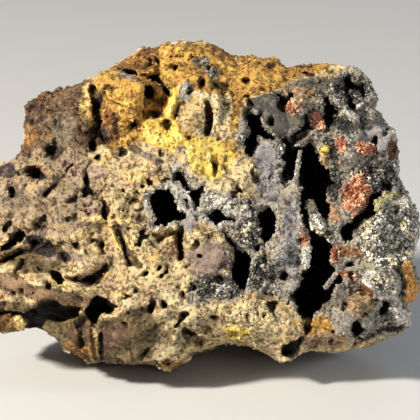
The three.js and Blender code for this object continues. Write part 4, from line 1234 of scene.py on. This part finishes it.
def grow_rods(material, model):
    """The thin rods of crystals that stand free at the cleft."""
    rng = np.random.default_rng(ROD_SEED)
    for name, ends in RODS.items():
        start, end = [on_face(model, at, drop) for at, drop in ends]
        places = start + rng.random(ROD_CRYSTALS)[:, None] * (end - start)
        places += rng.normal(0, ROD_SCATTER, (ROD_CRYSTALS, 3))
        set_rhombs(name, places, rng.uniform(*ROD_SIZES, ROD_CRYSTALS), rng, material, model)


def set_bead(rock, model):
    """The round ochre bead beside the cleft."""
    at, radius = BEAD
    middle = on_face(model, at, -BEAD_RISE * radius)
    place = to_stone(middle) * METRE
    bpy.ops.mesh.primitive_ico_sphere_add(subdivisions=4, radius=radius * METRE, location=place)
    bead = bpy.context.object
    bead.name = "ochre_bead"
    bead.data.transform(Matrix.Translation(bead.location))
    bead.location = (0, 0, 0)
    bead.data.materials.append(rock.data.materials[0])
    bead.data.shade_smooth()
    points = mesh_points(bead.data)
    paint_zones(bead, model, np.repeat(middle[None], len(points), axis=0))
    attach(bead, "root")


def crumb_cover(centres, grid):
    """How thickly crumbs lie at each place: more in the porous places and in patches, less in the druse."""
    x, y = seen_at(*centres.T)
    cell, seed, limits, least = CRUMB_PATCHES
    patches = grid.sample(lattice_noise(grid.shape, cell, seed), centres)
    cover = frontness(centres) * (1.05 - calm_share(x, y))
    cover *= 1 - CRUMB_DRUSE_LOSS * zone_share(x, y, ZONES["druse"][2], SOFT_PX)
    cover *= CRUMB_LEAST_COVER + zone_share(x, y, POROUS_PLACES, CRUMB_POROUS_SOFT_PX)
    return cover * (smoothstep(*limits, patches) + least)


def scatter_crumbs(rock, ground, model):
    """Angular crumbs of the rock itself, in its own material, over the places that broke crumbly."""
    centres, normals, areas = ground
    rng = np.random.default_rng(CRUMB_SEED)
    chosen = drawn(rng, areas * crumb_cover(centres, model[0]), CRUMBS)
    size = between(CRUMB_SIZES, rng.random(CRUMBS) ** 3)
    places = centres[chosen] + normals[chosen] * size[:, None] * CRUMB_RISE
    scales = size[:, None] * rng.uniform(*CRUMB_STRETCH, (CRUMBS, 3))
    points, faces = copies(SHARD, SHARD_FACES, places, many_turns(rng, CRUMBS), scales)
    points += rng.normal(0, CRUMB_ROUGHNESS, points.shape) * np.repeat(size, len(SHARD))[:, None]
    crumbs = new_object("gossan_crumbs", points, faces, rock.data.materials[0])
    crumbs.data.shade_flat()
    paint_zones(crumbs, model, places, len(SHARD))
    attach(crumbs, "root")


def grow_crusts(ground, material, model):
    """The crusts in the hollows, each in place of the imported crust."""
    centres, _, areas = ground
    x, y = seen_at(*centres.T)
    for order, hollow in enumerate(CRUSTS):
        distance = outline_distance(x, y, HOLLOWS[hollow][2])
        weight = smoothstep(*CRUST_EDGE_PX, distance) * (centres[:, 2] > CRUST_REACH)
        count = int(weight.dot(areas) * CRUST_DENSITY)
        name = "crust_" + hollow
        seed = CRUST_SEED + order
        crust = grow_druse(name + "_crystals", ground, weight, count, CRUST_SIZES, seed, material, model)
        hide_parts(name)


def grow_carminite(ground, material):
    """Tufts of blades in the clusters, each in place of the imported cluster."""
    centres, normals, areas = ground
    x, y = seen_at(*centres.T)
    for order, (name, (at, half, turn, count, length, tones)) in enumerate(CARMINITE.items()):
        rng = np.random.default_rng(CARMINITE_SEED + order)
        share = smoothstep(*CLUSTER_EDGE, spot_share(x, y, at, half, turn)) * areas * (centres[:, 2] > 0)
        tufts = drawn(rng, share, max(LEAST_TUFTS, count // TUFT_BLADES))
        tuft_of = rng.integers(len(tufts), size=count)
        base = tufts[tuft_of]
        directions = normals[base] + TUFT_LEAN * rng.normal(size=(count, 3))
        long = length * rng.uniform(*BLADE_LENGTHS, count)
        wide = rng.uniform(*BLADE_WIDTHS, count)
        scales = np.stack([wide * BLADE_SECTION[0], wide * BLADE_SECTION[1], long], axis=1)
        turns = turns_along(rng, directions)
        places = centres[base] + rng.normal(0, TUFT_SCATTER, (count, 3))
        points, faces = copies(BLADE, BLADE_FACES, places, turns, scales)
        tone = TUFT_TONE * rng.random(len(tufts))[tuft_of] + (1 - TUFT_TONE) * rng.random(count)
        tone = between(tones, tone)
        piece = crystal_piece(name + "_blades", material, points, faces, tone, len(BLADE))
        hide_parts(name)


def linear(colour):
    """A colour of 0 to 255 as the shader's linear one."""
    values = [value / 255 for value in colour]
    return [v / 12.92 if v < 0.04045 else ((v + 0.055) / 1.055) ** 2.4 for v in values] + [1]


class Shader:
    """A node material, built a node at a time. What goes into a node is another's output or a plain value."""

    def __init__(self, name):
        self.material = bpy.data.materials.new(name)
        self.material.use_nodes = True
        self.tree = self.material.node_tree
        self.surface = self.tree.nodes["Principled BSDF"]
        self.place = self.node("ShaderNodeTexCoord").outputs["Object"]

    def feed(self, socket, value):
        if isinstance(value, bpy.types.NodeSocket):
            self.tree.links.new(value, socket)
        else:
            socket.default_value = value

    def node(self, kind, inputs=None, **settings):
        made = self.tree.nodes.new(kind)
        for key, value in settings.items():
            setattr(made, key, value)
        for key, value in (inputs or {}).items():
            self.feed(made.inputs[key], value)
        return made

    def attribute(self, name):
        return self.node("ShaderNodeAttribute", attribute_name=name).outputs["Fac"]

    def noise(self, size, detail=3.0, roughness=0.6, output="Fac"):
        """Noise of 0 to 1 with features `size` millimetres across."""
        inputs = {"Vector": self.place, "Scale": 1 / (size * METRE), "Detail": detail, "Roughness": roughness}
        return self.node("ShaderNodeTexNoise", inputs).outputs[output]

    def swayed(self, size, reach):
        """The place, pushed up to `reach` millimetres to and fro by noise."""
        inputs = {0: self.noise(size, output="Color"), 1: [reach * METRE] * 3, 2: self.place}
        return self.node("ShaderNodeVectorMath", inputs, operation="MULTIPLY_ADD").outputs["Vector"]

    def grains(self, size):
        """One random value of 0 to 1 for each grain, `size` millimetres across."""
        inputs = {"Vector": self.place, "Scale": 1 / (size * METRE)}
        cell = self.node("ShaderNodeTexVoronoi", inputs).outputs["Color"]
        return self.node("ShaderNodeSeparateColor", {"Color": cell}).outputs["Red"]

    def hairlines(self, size, width):
        """Cracks that part the rock into pieces `size` millimetres across: 0 in a crack and 1 beside it."""
        inputs = {"Vector": self.swayed(size / 2, size), "Scale": 1 / (size * METRE)}
        cells = self.node("ShaderNodeTexVoronoi", inputs, feature="DISTANCE_TO_EDGE")
        open_here = self.ranged(self.noise(size * 1.5), 0.5, 0.64, 0.0, width)
        distance = self.maths("SUBTRACT", cells.outputs["Distance"], open_here)
        return self.ranged(distance, -width / 2, 0.0)

    def ranged(self, value, low, high, to_low=0.0, to_high=1.0):
        inputs = {"Value": value, "From Min": low, "From Max": high, "To Min": to_low, "To Max": to_high}
        return self.node("ShaderNodeMapRange", inputs).outputs["Result"]

    def maths(self, operation, a, b):
        clamped = operation != "SUBTRACT"
        made = self.node("ShaderNodeMath", {0: a, 1: b}, operation=operation, use_clamp=clamped)
        return made.outputs["Value"]

    def times(self, a, b):
        return self.maths("MULTIPLY", a, b)

    def plus(self, a, b):
        return self.maths("ADD", a, b)

    def weighted(self, first, *others):
        """The sum of values, each given with its weight."""
        total = self.times(*first)
        for value, weight in others:
            total = self.plus(total, self.times(value, weight))
        return total

    def mixed(self, share, a, b):
        """Two colours mixed, where each is another node's output or a colour of 0 to 255."""
        a, b = [value if isinstance(value, bpy.types.NodeSocket) else linear(value) for value in (a, b)]
        return self.node("ShaderNodeMix", {0: share, 6: a, 7: b}, data_type="RGBA").outputs[2]

    def bump(self, height, distance, strength):
        inputs = {"Height": height, "Distance": distance * METRE, "Strength": strength}
        return self.node("ShaderNodeBump", inputs).outputs["Normal"]

    def finish(self, **inputs):
        for key, value in inputs.items():
            self.feed(self.surface.inputs[key.replace("_", " ")], value)
        return self.material


def zoned(shader, colour, value, speck, crumb):
    """The zones' colours over a colour: darker or lighter by `value`, or by `speck` in speckled zones; then
    painted shade in patches of the druse.
    """
    edge = shader.ranged(shader.noise(1.1, 5.0, 0.75), 0.3, 0.7)
    flecks = shader.ranged(shader.noise(0.8, 5.0, 0.75), *FLECKS)
    for name, (_, (dark, pale, fleck), _) in ZONES.items():
        share = shader.plus(shader.attribute(name), shader.times(edge, 0.4))
        share = shader.ranged(share, *RAGGED_EDGE)
        if name in PATCHY:
            share = shader.times(share, shader.ranged(crumb, *PATCHY[name]))
        tint = shader.mixed(speck if name in SPECKLED else value, dark, pale)
        colour = shader.mixed(share, colour, shader.mixed(flecks, tint, fleck))
    # Painted shade in patches of the druse zone, for the gaps between its crystals
    druse_gap_shade = shader.ranged(shader.noise(1.3, 4.0, 0.7), *DRUSE_GAP_SHADE, DRUSE_GAP_SHADE_SHARE, 0.0)
    druse_gap_shade = shader.times(druse_gap_shade, shader.attribute("druse"))
    return shader.mixed(druse_gap_shade, colour, PAINTED_SHADE_TINT)


def gossan_material():
    """Iron-stained crumbly rock: zones of ochre, grey and mauve, speckled with grains, with painted shade in
    its hollows, pits, cracks and sunken places and lighter raised places.
    """
    shader = Shader("gossan_stone")
    calm = shader.attribute("calm")
    patch = shader.ranged(shader.noise(1.8, 4.0, 0.65), 0.35, 0.65)
    crumb = shader.ranged(shader.noise(0.36, 5.0, 0.8), 0.36, 0.64)
    speck = shader.grains(0.2)
    raised = shader.ranged(shader.attribute("raised"), -0.22, 0.22)
    # Random tone, with painted light from the relief: lighter where raised, darker where sunken
    tone_and_relief_light = shader.ranged(shader.weighted((patch, 0.3), (crumb, 0.5), (raised, 0.4)), 0.2, 0.9)
    pits = shader.plus(shader.noise(0.45, 2.0, 0.5), shader.times(patch, 0.12))
    pits = shader.plus(shader.ranged(pits, 0.44, 0.5), calm)
    colour = shader.mixed(tone_and_relief_light, *BASE_TINTS)
    for size, low, high, tints in DRIFTS:
        drift = shader.ranged(shader.noise(size, 4.0, 0.7), low, high, 0.0, 0.75)
        colour = shader.mixed(drift, colour, shader.mixed(tone_and_relief_light, *tints))
    back = shader.mixed(shader.noise(5.0, 4.0, 0.6), *BACK_TINTS)
    colour = shader.mixed(shader.attribute("front"), back, colour)
    colour = zoned(shader, colour, tone_and_relief_light, shader.ranged(speck, 0.15, 0.95), crumb)
    lines = 1.0
    for size, width in HAIRLINES:
        lines = shader.times(shader.hairlines(size, width), lines)
    lines = shader.plus(lines, shader.times(calm, 0.6))
    # Painted shade in the pits and hairline cracks
    shade = shader.mixed(0.2, PIT_SHADE_TINT, colour)
    colour = shader.mixed(shader.ranged(lines, 0.0, 1.0, 0.85, 0.0), colour, shade)
    colour = shader.mixed(shader.ranged(pits, 0.0, 1.0, 0.8, 0.0), colour, shade)
    # Painted shade in sunken places
    colour = shader.mixed(shader.ranged(raised, 0.4, 0.0, 0.0, 0.7), colour, SUNKEN_SHADE_TINT)
    # Painted shade, near black deep in the hollows
    colour = shader.mixed(shader.attribute("deep"), colour, PAINTED_SHADE_TINT)
    height = shader.weighted((crumb, 0.35), (lines, 0.2), (pits, 0.3), (speck, 0.12))
    shine = shader.times(shader.attribute("druse"), shader.ranged(speck, 0.6, 0.95))
    rough = shader.ranged(shine, 0.0, 1.0, 0.88, 0.3)
    return shader.finish(Base_Color=colour, Roughness=rough, Normal=shader.bump(height, 0.25, 0.9))


def beudantite_material():
    """Small glossy crystals from black to white, the light ones partly painted glints, tinted by their zone
    and near black deep in a hollow from painted shade.
    """
    shader = Shader("beudantite_crystals")
    tone = shader.attribute("tone")
    crumb = shader.ranged(shader.noise(0.5, 5.0, 0.8), 0.36, 0.64)
    value = shader.weighted((tone, 0.6), (crumb, 0.4))
    colour = shader.mixed(tone, *BEUDANTITE_TINTS)
    colour = zoned(shader, colour, value, shader.ranged(tone, 0.38, 0.95), crumb)
    # Painted shade that turns the crystals near black deep in a hollow
    colour = shader.mixed(shader.attribute("deep"), colour, CRYSTAL_PAINTED_SHADE_TINT)
    return shader.finish(Base_Color=colour, Roughness=shader.ranged(tone, 0.6, 1.0, 0.65, 0.25))


def carminite_material():
    """Carmine to salmon and cream grains and blades with a silky gloss."""
    shader = Shader("carminite_blades")
    tint = shader.mixed(shader.attribute("tone"), *CARMINITE_TINTS)
    pale = shader.ranged(shader.noise(1.0, 3.0), 0.5, 0.6)
    colour = shader.mixed(pale, tint, CARMINITE_PALE)
    return shader.finish(Base_Color=colour, Roughness=shader.ranged(shader.noise(0.2), 0, 1, 0.35, 0.7))


def looking(at, target):
    """The transform of a camera or lamp at one point that faces another, both in millimetres."""
    at = Matrix.Translation([value * METRE for value in at])
    direction = np.array(target, float) - np.array([value / METRE for value in at.translation])
    return at @ Vector(direction).to_track_quat("-Z", "Y").to_matrix().to_4x4()


def set_camera():
    """The camera at the photograph's angle, square to the face and level with its middle."""
    camera = bpy.data.cameras.new("camera")
    camera.lens = LENS
    camera.sensor_width = SENSOR
    camera.clip_start = CLIP_START
    stand = bpy.data.objects.new("camera", camera)
    stand.matrix_world = looking(FACE_ORIGIN + VIEW_DISTANCE * FACE_AXES[2], FACE_ORIGIN)
    bpy.context.scene.collection.objects.link(stand)
    bpy.context.scene.camera = stand


def set_lights():
    """The area lights and the soft light of the studio around."""
    scene = bpy.context.scene
    for name, (power, colour, size, at) in LIGHTS.items():
        lamp = bpy.data.lights.new(name, "AREA")
        lamp.energy = power
        lamp.color = colour
        lamp.size = size * METRE
        stand = bpy.data.objects.new(name, lamp)
        stand.matrix_world = looking(at, STONE_MIDDLE)
        scene.collection.objects.link(stand)
    world = bpy.data.worlds.new("studio")
    world.use_nodes = True
    background = world.node_tree.nodes["Background"]
    background.inputs["Color"].default_value = WORLD_COLOUR
    background.inputs["Strength"].default_value = WORLD_STRENGTH
    scene.world = world
    scene.view_settings.view_transform = "Standard"


def set_floor():
    """The plain pale floor under the stone."""
    bpy.ops.mesh.primitive_plane_add(size=FLOOR_SIZE)
    floor = bpy.context.object
    floor.name = "floor"
    paint = bpy.data.materials.new("floor_paint")
    paint.use_nodes = True
    paint.node_tree.nodes["Principled BSDF"].inputs["Base Color"].default_value = FLOOR_COLOUR
    floor.data.materials.append(paint)


rock, model = build_rock()
ground = triangle_arrays(rock.data)
scatter_crumbs(rock, ground, model)
druse = beudantite_material()
grow_crusts(ground, druse, model)
grow_open_druse(ground, druse, model)
grow_rods(druse, model)
set_bead(rock, model)
grow_carminite(ground, carminite_material())
set_camera()
set_lights()
set_floor()
